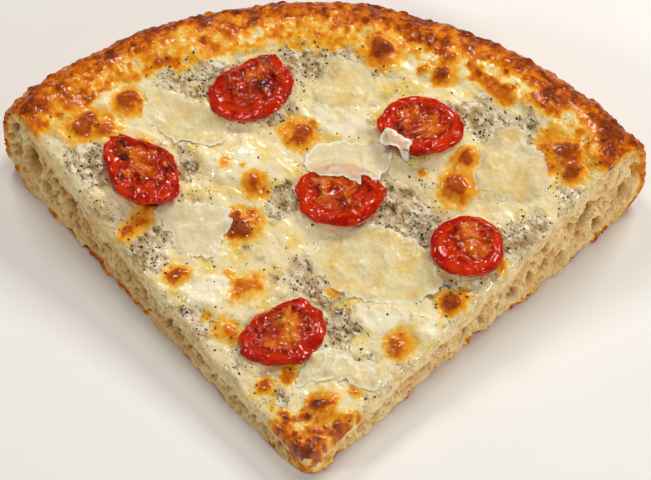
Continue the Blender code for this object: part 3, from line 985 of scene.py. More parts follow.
def rim_brown(x, y, z, way):
    """Browning from 0 to 1 anywhere on the rim."""
    small, big, pick = rim_nodules(x, y, z)
    corner = smooth_step(60, 95, np.abs(x))
    edge = way + 0.018 * rough(x, y, z, 7, 2, 34) + 0.035 * corner
    sheltered = smooth_step(15, 50, x) * smooth_step(0.925, 0.895, way)
    gold = (0.2 + 0.13 * corner) * (1 - 0.6 * sheltered) * smooth_step(0.825, 0.87, edge)
    gold = gold + (0.29 - 0.14 * corner) * (1 - 0.3 * sheltered) * smooth_step(0.89, 0.95, edge)
    patches = smooth_step(0.05, 0.6, rough(x, y, z, 6, 3, 36)) * smooth_step(0.84, 0.88, edge)
    fine = 0.16 * rough(x, y, z, 2.2, 3, 37)
    caught = (0.24 * small * (pick > 0.55) + 0.12 * big) * smooth_step(0.84, 0.9, edge)
    spots = smooth_step(0.3, 0.6, rough(x, y, z, 3.2, 3, 38)) * smooth_step(0.88, 0.94, way)
    hot = smooth_step(-0.2, 0.4, rough(x, y, z, 16, 2, 39))
    wall = smooth_step(31, 20, z) * smooth_step(0.94, 0.98, way)
    brown = gold + (0.24 + 0.14 * sheltered) * patches + fine + caught + (0.06 + 0.16 * hot) * spots
    return np.minimum(brown * (1 - 0.2 * wall) - 0.03 * wall, MOST_BROWN)


# %% [markdown]
# ## Finishing the bread
#
# The skin now gets its relief: pores and swellings on the cuts, nodules and blisters on the crust, and a
# foot that bulged where the dough met the pan. Displacing the points along their normals keeps it one
# closed mesh that holds its own relief, which a displacement in the material would not. The browning is a
# number for each point.

# %% Relief of the bread
x, y, z = bread_points.T
small, big, _ = rim_nodules(x, y, z)
rim_share = smooth_step(0.84, 0.9, bread_way) * (1 - cut_share)
low_side = smooth_step(3.0, 0.5, z) * (1 - cut_share)
lumps = 0.65 * small + 0.6 * big + 0.6 * rough(x, y, z, 8, 3, 41) + 0.3 * rough(x, y, z, 1.9, 2, 42)
pore, pore_pick = cells(x * 0.7 + y * 0.72, 0.55 * z, 1.5, 48)
pores = 0.45 * domes(pore, 0.45) * (pore_pick > 0.45)
crumb = 0.5 * rough(x, y, z, 11, 2, 43) + 0.32 * rough(x, y, z, 2.4, 3, 44) - pores
bread_depth = np.maximum(bread_depth, 1.6 * pores * cut_share)
foot_bulge = (0.35 + 1.1 * rough(x, y, 0.0, 5, 3, 49)) * smooth_step(3.2, 0.6, z)
press = cut_share * (crumb - bread_depth + foot_bulge) + rim_share * lumps * (1 - low_side)
bread_points = bread_points + bread_normals * press[:, None]
bread_points[:, 2] = np.maximum(bread_points[:, 2], 0.0)
print("relief from", round(float(press.min()), 1), "to", round(float(press.max()), 1), "mm")

# %% Browning of the cuts
crust_line = lookup(crust_skin[0][::3])
near_rim = (cut_share > 0.2) & (bread_way > 0.83)
to_crust = np.full(len(x), 9.0)
to_crust[near_rim] = distances(crust_line, np.column_stack([x, y, z])[near_rim])
to_base = z - bread_base(np.clip(bread_way, 0, 1), 1.0)
line = rough(x, y, z, 5, 2, 45)
skin_width = 1.6 + 0.8 * line + 3.0 * smooth_step(0.94, 0.985, bread_way)
skin_bake = (0.6 + 0.15 * rough(x, y, z, 3, 2, 50)) * smooth_step(skin_width, 0.2, to_crust)
skin_bake = np.maximum(skin_bake, 0.24 * smooth_step(6.5 + 2 * line, 0.5, to_crust))
skin_bake = skin_bake * smooth_step(0.885, 0.92, bread_way)
foot_spots = smooth_step(-0.45, 0.2, rough(x, y, z, 4.5, 3, 46))
foot_spots = foot_spots * smooth_step(np.maximum(0.9, 2.3 + 1.9 * line), 0.6, to_base)
foot_bake = (0.64 + 0.16 * rough(x, y, z, 1.6, 2, 51)) * foot_spots
tip_bake = (0.3 + 0.5 * rough(x, y, z, 3.4, 3, 76)) * smooth_step(0.05, 0.0, bread_way)
crumb_bake = np.maximum(np.maximum(skin_bake, foot_bake), 0)
crumb_bake = np.maximum(crumb_bake, tip_bake * smooth_step(0.2, 0.5, rough(x, y, z, 5, 2, 77) + 0.3))

# %% The bread
UNDERSIDE = 1.0  # height in mm below which the skin belongs to the underside
under_bake = 0.63 + 0.2 * rough(x, y, z, 9, 3, 47)
outer_bake = np.where(z < UNDERSIDE, under_bake, rim_brown(x, y, z, bread_way))
bread_bake = mix(outer_bake, crumb_bake, cut_share)
on_tip = (bread_way < 0.02) & (z > UNDERSIDE)
bread_bake = np.where(on_tip, np.maximum(crumb_bake, tip_bake), bread_bake)
# Painted shade of the holes and of the small pores, which the material turns into darker, warmer crumb.
painted_pit_shade = np.clip(np.maximum(bread_shade, 0.5 * pores * cut_share), 0, 1)
bread_values = {"pit": painted_pit_shade, "bake": bread_bake}
bread = make_piece("baked_bread", bread_points, bread_faces.tolist(), bread_values, bread_material)
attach(bread, "root")
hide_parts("bread")

# %% [markdown]
# ## Where the cream, the cheese and the blisters are
#
# The topping is described before it is built, as functions of the place on the slice: how white it is, how
# much truffle it holds, where it has blistered. Both the cream and the pools of mozzarella are then built
# from the same description, and their edges vanish into each other as they do when cheese melts. The places
# themselves are a short list of ovals for each kind, because melted cheese falls where it was put and
# follows no rule.

# %% Oval places
def inside_share(x, y, spec):
    """1 in the middle of an oval place and 0 on its edge."""
    middle_x, distance, length, width, heading = spec
    dx, dy = x - middle_x, y - (APEX_Y + distance)
    c, s = math.cos(math.radians(heading)), math.sin(math.radians(heading))
    return 1 - np.hypot((dx * c + dy * s) / (0.5 * length), (dy * c - dx * s) / (0.5 * width))


def in_any(x, y, specs):
    """The largest share among several ovals."""
    return np.max([inside_share(x, y, spec) for spec in specs], axis=0)


# %% White and grey
WHITE = (  # x and distance from the apex, length, width in mm, heading in degrees
    (-61, 109, 28, 20, 30),
    (-24, 95, 34, 30, -20),
    (9, 117, 38, 32, 10),
    (-29, 57, 40, 26, -25),
    (54, 94, 44, 28, -35),
    (-2, 71, 34, 22, -20),
    (25, 49, 34, 22, -15),
    (4, 19, 20, 28, 0),
    (40, 128, 52, 20, -15),
)
GREY = (
    (-44, 123, 24, 15, 20),
    (-4, 134, 22, 15, 0),
    (12, 134, 14, 9, -20),
    (58, 112, 40, 17, -40),
    (46, 116, 14, 11, -30),
    (-72, 92, 14, 16, 50),
    (-42, 94, 9, 12, 0),
    (-54, 67, 20, 16, -40),
    (-12, 86, 16, 16, 40),
    (0, 61, 20, 14, -40),
    (10, 45, 14, 14, -40),
    (26, 83, 34, 14, -35),
    (64, 80, 22, 14, 45),
    (41, 57, 12, 9, 30),
    (-7, 21, 8, 10, 0),
    (-36, 44, 16, 12, -45),
)


def white_at(x, y):
    """How much mozzarella there is, from grey cream at 0 to white at 1."""
    bend_x = x + 2.6 * rough(x, y, 0.0, 11, 3, 51)
    bend_y = y + 2.6 * rough(x, y, 5.0, 11, 3, 52)
    white = smooth_step(-0.25, 0.35, in_any(bend_x, bend_y, WHITE))
    grey = smooth_step(-0.2, 0.4, in_any(bend_x, bend_y, GREY))
    return np.clip(0.55 + 0.6 * white - 0.75 * grey + 0.3 * rough(x, y, 2.0, 5, 3, 53), 0, 1)


# %% Around the tomatoes
# x and distance from the apex, length and width in mm, then heading, tilt along and tilt across in degrees.
TOMATOES = (
    (-57, 90.5, 29.5, 21.5, -42, 4, -6),
    (-24.5, 121, 29, 20, 28, -5, 12),
    (30.5, 111, 28, 21, 2, 3, 2),
    (6, 87.5, 28, 22, -4, -3, 5),
    (47, 71.5, 24, 21, 0, 2, 3),
    (-9, 40.5, 28, 21, 27, -3, 6),
)


def near_tomato(x, y):
    """1 at the edge of a tomato half and 0 a little way outside it, and 1 where a half lies on top."""
    share = in_any(x, y, [spec[:5] for spec in TOMATOES])
    return smooth_step(-0.2, 0.0, share + 0.05 * rough(x, y, 0.0, 3, 2, 66)), smooth_step(0.14, 0.4, share)


# %% Blisters
BLISTERS = (  # x and distance from the apex, radius across, stretch, heading, strength
    (-63, 113, 4.6, 1.0, 0, 1.0),
    (-77, 103, 4.5, 1.5, 30, 0.95),
    (-70, 104, 4.5, 1.3, -10, 0.8),
    (-21, 90, 3.8, 1.0, 0, 1.0),
    (-24, 77, 5.2, 1.1, 0, 1.1),
    (-43, 58.5, 3.4, 1.1, 0, 0.9),
    (-57, 74, 3.2, 2.4, 55, 0.85),
    (-21, 56, 4.2, 1.8, 50, 0.7),
    (-8, 109, 5.0, 1.1, 0, 1.0),
    (-4, 112, 2.6, 1.0, 0, 0.6),
    (43, 92, 5.4, 1.1, 20, 0.92),
    (46, 101, 4.0, 1.0, 0, 1.0),
    (32, 97, 1.7, 1.0, 0, 0.6),
    (37, 129, 3.6, 1.2, -20, 1.0),
    (31, 131, 2.6, 1.0, 0, 0.7),
    (38, 134, 3.0, 1.0, 0, 0.9),
    (17, 137, 5.2, 1.4, -20, 1.1),
    (57, 123, 3.4, 1.3, -30, 0.6),
    (71, 117, 2.2, 1.0, 0, 0.8),
    (75, 103, 6.0, 1.4, -45, 1.05),
    (79, 97, 4.5, 1.2, -45, 0.9),
    (87, 100, 4.0, 1.2, 0, 0.8),
    (27, 40, 4.4, 1.1, 0, 0.9),
    (43, 54, 3.8, 1.1, 0, 1.0),
    (47, 57, 3.0, 1.0, 0, 0.5),
    (58, 66, 2.4, 1.0, 0, 0.6),
    (5, 18, 4.4, 1.0, 0, 1.1),
    (3, 10, 4.5, 1.2, 0, 0.6),
    (-13, 24, 2.6, 1.2, 60, 0.9),
    (-6, 28, 2.6, 1.3, 60, 0.75),
    (-6, 15, 2.2, 1.0, 0, 0.8),
    (-26, 42, 4.2, 1.3, -40, 0.7),
    (-33, 46, 2.2, 1.0, 0, 0.5),
    (-27, 61, 2.6, 1.0, 0, 0.4),
    (-31, 96, 2.6, 1.4, 30, 0.5),
    (-25, 96, 1.8, 1.0, 0, 0.4),
    (15, 24, 2.4, 1.0, 0, 0.7),
    (13, 16, 1.6, 1.6, 45, 0.7),
    (-57, 101, 3.0, 1.0, 0, 0.35),
    (-5, 50, 3.2, 1.4, 20, 0.45),
    (6, 57, 2.4, 1.5, 0, 0.4),
)


def blisters_at(x, y):
    """Height in mm and browning of the blisters."""
    height, brown = np.zeros(x.shape), np.zeros(x.shape)
    bend = 0.26 * rough(x, y, 3.0, 3.6, 3, 54) + 0.05 * rough(x, y, 5.0, 1.2, 2, 54)
    for middle_x, distance, radius, stretch, heading, strength in BLISTERS:
        spec = (middle_x, distance, 2 * radius * stretch, 2 * radius, heading)
        share = 1 - inside_share(x, y, spec) + bend
        height = np.maximum(height, min(1.3, 0.3 * radius) * strength * smooth_step(1.05, 0.2, share))
        halo = 0.22 * smooth_step(1.6, 1.1, share) + 0.12 * smooth_step(1.15, 0.7, share)
        brown = np.maximum(brown, strength * (halo + 0.34 * smooth_step(0.8, 0.3, share + 0.9 * bend)))
    return height, brown


# %% Crust of the tip
def tip_crust(x, y, way):
    """Browning and grain of the tip, where the topping is thin and the oven catches it from all sides."""
    spread = 0.045 * np.abs(way_and_side(x, y)[1]) ** 3
    zone = smooth_step(0.125, 0.05, way - spread + 0.05 * rough(x, y, 0.0, 4, 2, 71))
    near, pick = cells(x + 0.5 * rough(x, y, 0.0, 2, 2, 72), y, 1.9, 73)
    grain = domes(near, 0.6) * pick
    return zone * np.clip(0.44 + 0.42 * rough(x, y, 0.0, 3.4, 3, 74) + 0.34 * grain, 0.16, 0.86), zone * grain


# %% Height of the coat
COAT_DEPTH = 3.0


def lip(away, width):
    """Rises from 0 to 1 as a round edge does."""
    share = np.clip(away / width, 0, 1)
    return np.sqrt(1 - (1 - share) ** 2)


def coat_height(x, y, away):
    """Height of the cream's upper face. away is the distance from the cream's edge."""
    way, _ = way_and_side(x, y)
    white = white_at(x, y)
    depth = COAT_DEPTH * smooth_step(0.94, 0.8, way) * lip(away, 2.4)
    along, across = x * math.cos(STROKE) - y * math.sin(STROKE), x * math.sin(STROKE) + y * math.cos(STROKE)
    flow = rough(0.6 * along, across, 4.0, 4.2, 2, 56)
    edge, under = near_tomato(x, y)
    _, tip_grain = tip_crust(x, y, way)
    coarse = 0.65 * rough(x, y, 1.0, 10, 3, 55) + (0.34 + 0.14 * white) * flow
    coarse = coarse + 1.3 * edge - 3.0 * under + 0.9 * tip_grain
    near, pick = cells(x + 0.4 * rough(x, y, 0.0, 2, 2, 57), y, 1.5, 58)
    grains = 0.35 * domes(near, 0.6) * pick + 0.45 * rough(0.5 * along, across, 6.0, 2.4, 2, 59)
    fine = 0.19 * rough(0.6 * along, across, 8.0, 2.2, 3, 60)
    fade = smooth_step(0, 2.5, away) * smooth_step(0.95, 0.85, way)
    blister, _ = blisters_at(x, y)
    bread = top_height(x, y)
    small, big, _ = rim_nodules(x, y, bread)
    slope = smooth_step(0.82, 0.9, way) * (0.35 * small + 0.45 * big + 0.5 * rough(x, y, 0.0, 8, 3, 41))
    relief = fade * (coarse + (1 - white) * grains) + fine + blister * smooth_step(0, 1, away) + slope
    return bread + depth + relief


# %% Looks of the coat
def coat_values(x, y):
    """What the materials need to know about the topping at each place."""
    way, _ = way_and_side(x, y)
    white = white_at(x, y)
    _, brown = blisters_at(x, y)
    toasted = 0.1 * smooth_step(0.35, 0.9, rough(x, y, 7.0, 9, 3, 61))
    rim = np.where(way > 0.8, rim_brown(x, y, top_height(x, y), way), 0) * smooth_step(0.83, 0.87, way)
    tip, _ = tip_crust(x, y, way)
    return {
        "white": white,
        "specks": np.clip(0.52 - 0.48 * white - 0.5 * smooth_step(0.83, 0.88, way), 0.03, 1),
        "brown": np.maximum(np.maximum(brown, rim), tip) + toasted,
        "stain": smooth_step(0.75, 1.0, near_tomato(x, y)[0]),
    }


# %% [markdown]
# ## Truffle cream
#
# The cream was spread up to the cuts and sagged over them while it baked. It is a sheet over the bread with
# an even triangle pattern, thick in the middle, rounded down over the cut edges and thinning to nothing on
# the slope of the rim. From its edge short tongues run down the cut faces, longer on the right cut and at
# the tip, and soak into the crumb. A cloth simulation could drape it, but would lose the places of the
# blisters.

# %% Edge of the cream
COAT_SPACING = 0.48
COAT_END = 0.95
COAT_OVERHANG = 0.2
EDGE_POINTS = 260
rim_sides = np.linspace(-1, 1, RIM_COLUMNS)
rim_ways = COAT_END - 0.035 * rim_sides**4 + 0.008 * rough(rim_sides * 110, 0.0, 0.0, 14, 3, 63)


def coat_edge(way, side):
    """Plan position of the edge of the cream over a cut."""
    uneven = COAT_OVERHANG + 0.35 * rough(way * CUT_LENGTH, side, 0.0, 9, 3, 64)
    x, y = plan(way, side)
    return np.stack(set_back(x, y, lean(way, side, bread_top(x, y)) - side * uneven, way), -1)


def coat_outline():
    left = coat_edge(np.linspace(0, rim_ways[0], EDGE_POINTS), -1.0)
    far = np.stack(plan(rim_ways, rim_sides * 0.985), -1)[4:-4]
    right = coat_edge(np.linspace(rim_ways[-1], 0, EDGE_POINTS), 1.0)
    middle = np.array([TIP_SHIFT, APEX_Y + TIP_CENTRE])
    start, stop = left[0] - middle, right[-1] - middle
    turn = np.linspace(0, 1, 14)[1:-1]
    angles = mix(math.atan2(stop[1], stop[0]), math.atan2(start[1], start[0]), turn)
    tip = middle + np.linalg.norm(start) * np.stack([np.cos(angles), np.sin(angles)], -1)
    return spaced(np.concatenate([left, far, right, tip]), COAT_SPACING)


coat_ring = coat_outline()
coat_tree = lookup(coat_ring)
print("edge of the cream:", len(coat_ring), "points")

# %% Tongues over the cuts
TONGUE_ROWS = 9
SHORTEST = 0.25


def tongue_lengths(x, y, z):
    """How far the cream runs down at each point of its edge, a place along it, and how near the tip it is."""
    way, side = way_and_side(x, y)
    run = way * CUT_LENGTH + 400 * (side > 0)  # a place along both cuts in which they don't repeat each other
    at_tip = smooth_step(0.06, 0.0, way)
    long = smooth_step(-0.1, 0.75, rough(run, 0.0, 0.0, 9, 2, 67)) * (2.2 + 2.3 * smooth_step(0, 1, side))
    length = (1.0 + long + 0.5 * rough(run, 0.0, 0.0, 2.2, 2, 68)) * smooth_step(0.9, 0.84, way)
    length = length + 7 * at_tip * (0.6 + 0.8 * rough(run, 5.0, 0.0, 3, 2, 75))
    return np.clip(length, 0, (0.4 + 0.4 * at_tip) * z), run, at_tip


def tongue_rows(x, y, z, length, run):
    """Rows of points from the edge down the cut face, which swell out and then sink into the crumb."""
    way, side = way_and_side(x, y)
    sign = np.clip(side * 1.02, -1, 1)
    before = np.stack(set_back(*plan(way, side), lean(way, side, z), way), -1)
    for row in range(1, TONGUE_ROWS + 1):
        share = row / TONGUE_ROWS
        height = z - length * share
        swell = 0.25 * math.sin(math.pi * share**1.6) - 0.75 * share**3
        swell = swell + 0.18 * rough(run, height, 0.0, 2.5, 2, 69) * (1 - share)
        after = np.stack(set_back(*plan(way, side), lean(way, side, height) - sign * swell, way), -1)
        yield np.column_stack([np.stack([x, y], -1) + after - before, height])


def tongue_values(edge, at_tip, points):
    """Values of the tongues from those of the cream's edge: whiter, less peppery and ever more like bread."""
    edge = {kind: np.tile(v, TONGUE_ROWS) for kind, v in edge.items()}
    patchy = 1 + 0.5 * rough(*points.T, 2.6, 3, 74)
    edge["specks"] = 0.12 * edge["specks"]
    edge["brown"] = edge["brown"] * patchy * mix(0.4, 1, np.tile(at_tip, TONGUE_ROWS))
    edge["white"] = np.maximum(edge["white"], 0.75)
    edge["stain"] = 0 * edge["stain"]
    edge["bready"] = np.repeat(np.linspace(0.6, 1.0, TONGUE_ROWS), len(at_tip))
    return edge


def with_tongues(points, faces, values, rim):
    """The sheet of cream, whose first points are its rim, carried down over the cut faces."""
    edge = points[:rim]
    length, run, at_tip = tongue_lengths(*edge.T)
    below = np.concatenate(list(tongue_rows(*edge.T, length, run)))
    after = (np.arange(rim) + 1) % rim
    both = np.nonzero((length > SHORTEST) & (length[after] > SHORTEST))[0]
    rows = [np.arange(rim), *(len(points) + row * rim + np.arange(rim) for row in range(TONGUE_ROWS))]
    quads = [np.stack([a[both], a[after[both]], b[after[both]], b[both]], -1) for a, b in zip(rows, rows[1:])]
    quads = np.concatenate(quads)
    used = np.unique(np.concatenate([np.arange(len(points)), quads.ravel()]))
    number = np.full(len(points) + len(below), -1)
    number[used] = np.arange(len(used))
    extra = tongue_values({kind: v[:rim] for kind, v in values.items()}, at_tip, below)
    values = {kind: np.concatenate([v, extra[kind]])[used] for kind, v in values.items()}
    points, quads = np.concatenate([points, below])[used], number[quads]
    outwards = points[quads].mean(1)[:, :2] - BREAD_MIDDLE[:2]
    if (face_normals(points, quads)[:, :2] * outwards).sum() < 0:
        quads = quads[:, ::-1]
    print("tongues of cream:", len(quads), "quads")
    return points, [list(face) for face in faces] + quads.tolist(), values


# %% The cream
coat_plan, coat_faces, coat_away = filled(coat_ring, COAT_SPACING)
x, y = coat_plan.T
at_cut = smooth_step(0.94, 0.88, way_and_side(x, y)[0])
coat_z = coat_height(x, y, coat_away)
coat_z = coat_z - at_cut * (0.9 + 0.5 * rough(x, y, 0.0, 6, 2, 65)) * smooth_step(0.5, 0.0, coat_away)
coat_z = coat_z - 0.5 * (1 - at_cut) * smooth_step(2.0, 0.0, coat_away)
cream_values = coat_values(x, y)
ragged = 1.6 + 1.6 * rough(x, y, 0.0, 5, 3, 97)
cream_values["bready"] = smooth_step(np.maximum(0.3, ragged), 0, coat_away) * at_cut
sheet = with_tongues(np.column_stack([x, y, coat_z]), coat_faces, cream_values, len(coat_ring))
cream = make_piece("truffle_cream_coat", *sheet, cream_material)
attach(cream, "root")
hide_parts("truffle_cream")

# %% [markdown]
# ## Pools of mozzarella
#
# Each torn piece of mozzarella has melted into a low pool with a soft, lobed edge. It rises out of the
# cream and sinks back into it, so its edge point lies just under the cream's face and no step shows. The
# pools are separate pieces, so each keeps its own outline, and the cream's description gives them the
# blisters and colours they share.

# %% Uneven ovals
def oval(spec, wobble, seed, count=120):
    """Plan points of an uneven oval's edge."""
    middle_x, distance, length, width, heading = spec
    angle = np.linspace(0, math.tau, count, endpoint=False)
    uneven = []
    for a in angle:
        slow = noise.noise(Vector((1.3 * math.cos(a), 1.3 * math.sin(a), seed)))
        fast = noise.noise(Vector((3 * math.cos(a), 3 * math.sin(a), seed + 9)))
        uneven.append(1 + wobble * slow + 0.5 * wobble * fast)
    along = 0.5 * length * np.cos(angle) * uneven
    across = 0.5 * width * np.sin(angle) * uneven
    c, s = math.cos(math.radians(heading)), math.sin(math.radians(heading))
    return np.stack([middle_x + along * c - across * s, APEX_Y + distance + along * s + across * c], -1)


# %% Mozzarella
POOLS = (  # x and distance from the apex, length, width in mm, heading in degrees
    (-26, 97, 40, 19, -14),
    (-29, 53, 34, 19, -20),
    (6, 115, 24, 20, 12),
    (27, 131, 28, 9, -10),
    (54, 96, 38, 21, -2),
    (24, 49, 33, 15, -6),
    (6, 19, 18, 13, 4),
    (-68, 112, 17, 9, 32),
)
POOL_SPACING, POOL_HEIGHT = 0.6, 1.5
pools = []
for number, spec in enumerate(POOLS, 1):
    ring = spaced(oval(spec, 0.3, number * 1.9), POOL_SPACING)
    lobes = 0.1 * rough(*ring.T, 0.0, 6, 2, 70 + number)
    ring = ring + (ring - (spec[0], APEX_Y + spec[1])) * lobes[:, None]
    flat, faces, away = filled(ring, POOL_SPACING)
    x, y = flat.T
    melt = POOL_HEIGHT * smooth_step(0, 4.2, away)
    melt = melt + 0.5 * smooth_step(1, 5, away) * rough(x, y, 0.0, 5, 3, 80 + number)
    z = coat_height(x, y, distances(coat_tree, flat)) + melt - 0.3 * smooth_step(0.6, 0, away)
    values = coat_values(x, y)
    # The middle of each pool is made whiter: partly the cheese's own colour, partly a painted sheen.
    whiter_and_sheen = 0.9 * smooth_step(1.5, 4.5, away) * smooth_step(-0.3, 0.5, rough(x, y, 0.0, 7, 3, 90 + number))
    values["white"] = np.maximum(values["white"], smooth_step(0.5, 3.5, away)) + whiter_and_sheen
    values["specks"] = np.where(away > 2, 0.04, values["specks"])
    points = np.column_stack([x, y, z])
    pool = make_piece(f"melted_mozzarella_{number}", points, faces, values, cheese_material)
    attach(pool, "root")
    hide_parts(f"mozzarella_{number}")
    pools.append(pool)

# %% [markdown]
# ## Roasted tomato halves
#
# A cherry tomato half collapses in the oven. Its cut rim rolls in and wrinkles, the walls between its
# chambers stay up as ridges, and the seeds and jelly dry to an orange pulp. Each half is a grid that runs
# from the underside, up the outside, over the rolled lip and down into the chambers. Sculpting would give
# freer shapes, but a grid keeps the six halves alike in build and different in looks, from a few numbers
# each. Place and tilt are those of the solids.

# %% Character of each tomato half
# How much seedy pulp fills it, how far its middle has risen, how wrinkled it is and how its ridges run.
TOMATO_LOOKS = (
    (0.55, 0.4, 1.0, 0.1),
    (0.5, 1.3, 1.5, 1.2),
    (0.65, 0.3, 0.7, 0.6),
    (0.6, 0.1, 0.8, 0.5),
    (0.85, 0.6, 0.6, 0.0),
    (0.85, 0.6, 1.2, 0.9),
)
TOMATO_WET = (0.6, 1.0, 0.5, 0.45, 0.55, 1.2)  # how much oil stands on it
TOMATO_WOBBLE = (0.1, 0.06, 0.1, 0.14, 0.1, 0.18)  # how uneven its outline is
TOMATO_TAPER = (0.32, 0, 0.1, 0, 0, 0.15)  # how much narrower one end is
TOMATO_DENTS = {  # direction from the middle in degrees, and how far the outline comes in or goes out there
    2: ((0, 0.95), (34, 1.12), (60, 0.94), (86, 0.74), (116, 0.86), (180, 1.0), (242, 1.08), (298, 1.14),
        (330, 1.05)),
    6: ((0, 1.0), (50, 1.1), (100, 0.94), (180, 1.0), (250, 1.06), (310, 1.0)),
}  # fmt: skip
CHAR_SPOTS = {  # place in shares of the half length and half width, and radius in mm
    1: ((-0.5, -0.1, 2.6), (-0.05, -0.7, 2.0), (-0.72, 0.1, 2.4), (0.3, -0.75, 1.5), (0.45, 0.55, 1.6)),
    2: ((0.25, -0.1, 2.6), (0.55, 0.75, 2.4)),
    3: ((-0.5, -0.25, 2.2),),
    4: ((-0.5, 0.2, 1.3),),
    5: (),
    6: ((0.1, 0.45, 1.6), (-0.5, 0.4, 1.2)),
}


# %% Outline and section
TOMATO_ROWS, TOMATO_COLUMNS = 96, 196
DENT_BLEND = 8  # degrees to each side over which a dent is rounded
PROFILE = (  # share of the outline and height in mm, from the underside over the lip to the middle
    (0.0, -5.6), (0.5, -5.2), (0.8, -4.0), (0.93, -2.3), (0.985, -1.1), (1.0, -0.2), (0.985, 0.45),
    (0.94, 0.9), (0.87, 1.1), (0.76, 1.0), (0.68, 0.8), (0.62, 0.4), (0.55, 0.0), (0.45, 0.0), (0.25, 0.3),
    (0.0, 0.35),
)  # fmt: skip


def profile_curve():
    """The profile with its corners rounded, at even steps."""
    knots = np.array(PROFILE)
    run = run_along(knots * (11, 1))
    at = np.linspace(0, run[-1], TOMATO_ROWS)
    curve = np.stack([np.interp(at, run, knots[:, 0]), np.interp(at, run, knots[:, 1])], -1)
    for _ in range(2):
        curve[1:-1] = mix(curve[1:-1], (curve[:-2] + curve[2:]) / 2, 0.6)
    return curve.T


def tomato_outline(number):
    """The outline of one half before it is turned: an uneven oval, dented and tapered."""
    length, width = TOMATOES[number - 1][2:4]
    ring = oval((0, -APEX_Y, length, width, 0), TOMATO_WOBBLE[number - 1], number * 2.7, TOMATO_COLUMNS)
    if number in TOMATO_DENTS:
        at, reach = np.array(TOMATO_DENTS[number]).T
        around = np.degrees(np.arctan2(ring[:, 1], ring[:, 0]))
        before, after = (np.interp(around + by, at, reach, period=360) for by in (-DENT_BLEND, DENT_BLEND))
        ring = ring * mix(before, after, 0.5)[:, None]
    narrow = TOMATO_TAPER[number - 1] * smooth_step(0.1, -1, ring[:, 0] / (0.5 * length))
    return ring * np.stack([1 + 0.15 * narrow, 1 - narrow], -1)


# %% Surface of a tomato half
OPENING_BACK = 1.1  # the wall facing the tip is the thicker one


def tomato_walls(number, share, height, seed):
    """Plan positions and heights of a half with its rolled lip, and which rows lie in the opening."""
    wrinkled = TOMATO_LOOKS[number - 1][2]
    ring = tomato_outline(number)
    turn = np.linspace(0, math.tau, len(ring), endpoint=False)[None, :]
    a, b = np.cos(turn), np.sin(turn)
    inner = np.linspace(0, 1, TOMATO_ROWS)[:, None] > 0.6
    roll_in = 0.04 * wrinkled * rough(1.4 * a, 1.4 * b, 0.0, 1, 3, seed) * smooth_step(-1, 1.5, height)
    opening = 0.13 * rough(1.7 * a, 1.7 * b, 4.0, 1, 2, seed + 7) * smooth_step(0.35, 0.65, share)
    pull = 1 + roll_in + opening * smooth_step(0.95, 0.75, share) * inner
    heading = math.radians(TOMATOES[number - 1][4])
    slid = OPENING_BACK * smooth_step(0.97, 0.6, share) * inner
    x = ring[None, :, 0] * share * pull + slid * math.sin(heading)
    y = ring[None, :, 1] * share * pull + slid * math.cos(heading)
    waves = smooth_step(0.55, 0.85, share) * smooth_step(-1.0, 1.5, height) * wrinkled
    z = height + 0.65 * waves * rough(1.5 * a, 1.5 * b, 1.0, 1, 2, seed + 1)
    crease = rough(x * 0.7, y, 2.0, 5.0, 2, seed + 9)
    z = z + 0.55 * wrinkled * np.maximum(0, 1 - np.abs(crease) / 0.16) * smooth_step(-0.6, 0.8, height)
    return x, y, z, inner


def char_of(number, x, y, height, seed):
    """Where the oven has charred a half."""
    length, width = TOMATOES[number - 1][2:4]
    char = np.zeros(x.shape)
    for at_x, at_y, radius in CHAR_SPOTS[number]:
        away = np.hypot(x - at_x * length / 2, y - at_y * width / 2) / radius
        away = away + 0.5 * rough(x, y, 0.0, 2.2, 3, seed)
        char = np.maximum(char, 0.85 * smooth_step(1.25, 0.3, away) * (height > -1))
    return char


def tomato_surface(number):
    """Points of one half before it is turned, with how pulpy and how charred each is."""
    fill, risen, _, ridge_turn = TOMATO_LOOKS[number - 1]
    seed = 100 + 7 * number
    share, height = (v[:, None] for v in profile_curve())
    x, y, z, inner = tomato_walls(number, share, height, seed)
    centre = smooth_step(0.8, 0.55, share) * inner
    c, s = math.cos(ridge_turn), math.sin(ridge_turn)
    along, across = (x * c + y * s) * 0.55, (y * c - x * s) * 1.25
    fold = rough(along + 0.9 * rough(x, y, 1.0, 5, 2, seed + 8), across, 0.0, 5.5, 2, seed + 2)
    ridge = np.maximum(0, 1 - np.abs(fold) / 0.3) ** 1.5
    hollow = smooth_step(0.2, 0.7, np.abs(fold))
    rise = risen + 1.5 * ridge * (1.15 - 0.6 * fill) - 0.9 * hollow * (1.2 - fill)
    z = z + centre * (rise + 0.3 * rough(x, y, 3.0, 3, 2, seed + 3))
    z = z + centre * fill * 0.4 * rough(x, y, 6.0, 1.8, 2, seed + 4)
    shade = rough(x, y, 2.0, 5, 2, seed + 5)
    glow = 0.36 + 0.36 * fill * smooth_step(0.6, 0.2, share) + 0.36 * shade + 0.14 * ridge
    # The pulp is painted darker red in the hollows between the ridges: partly the flesh's own red, partly
    # painted shade.
    glow = glow - 0.24 * hollow * (1.2 - fill)
    edge_glow = 0.16 * smooth_step(0.92, 0.7, share) * inner * (1 + shade)
    pulp = np.clip(np.maximum(centre * glow, edge_glow), 0, 1)
    return np.stack([x, y, z], -1), pulp, char_of(number, x, y, height, seed + 6)


# %% Wrinkles
OUTSIDE_ROW = 18  # a row of the grid that runs round the outer wall


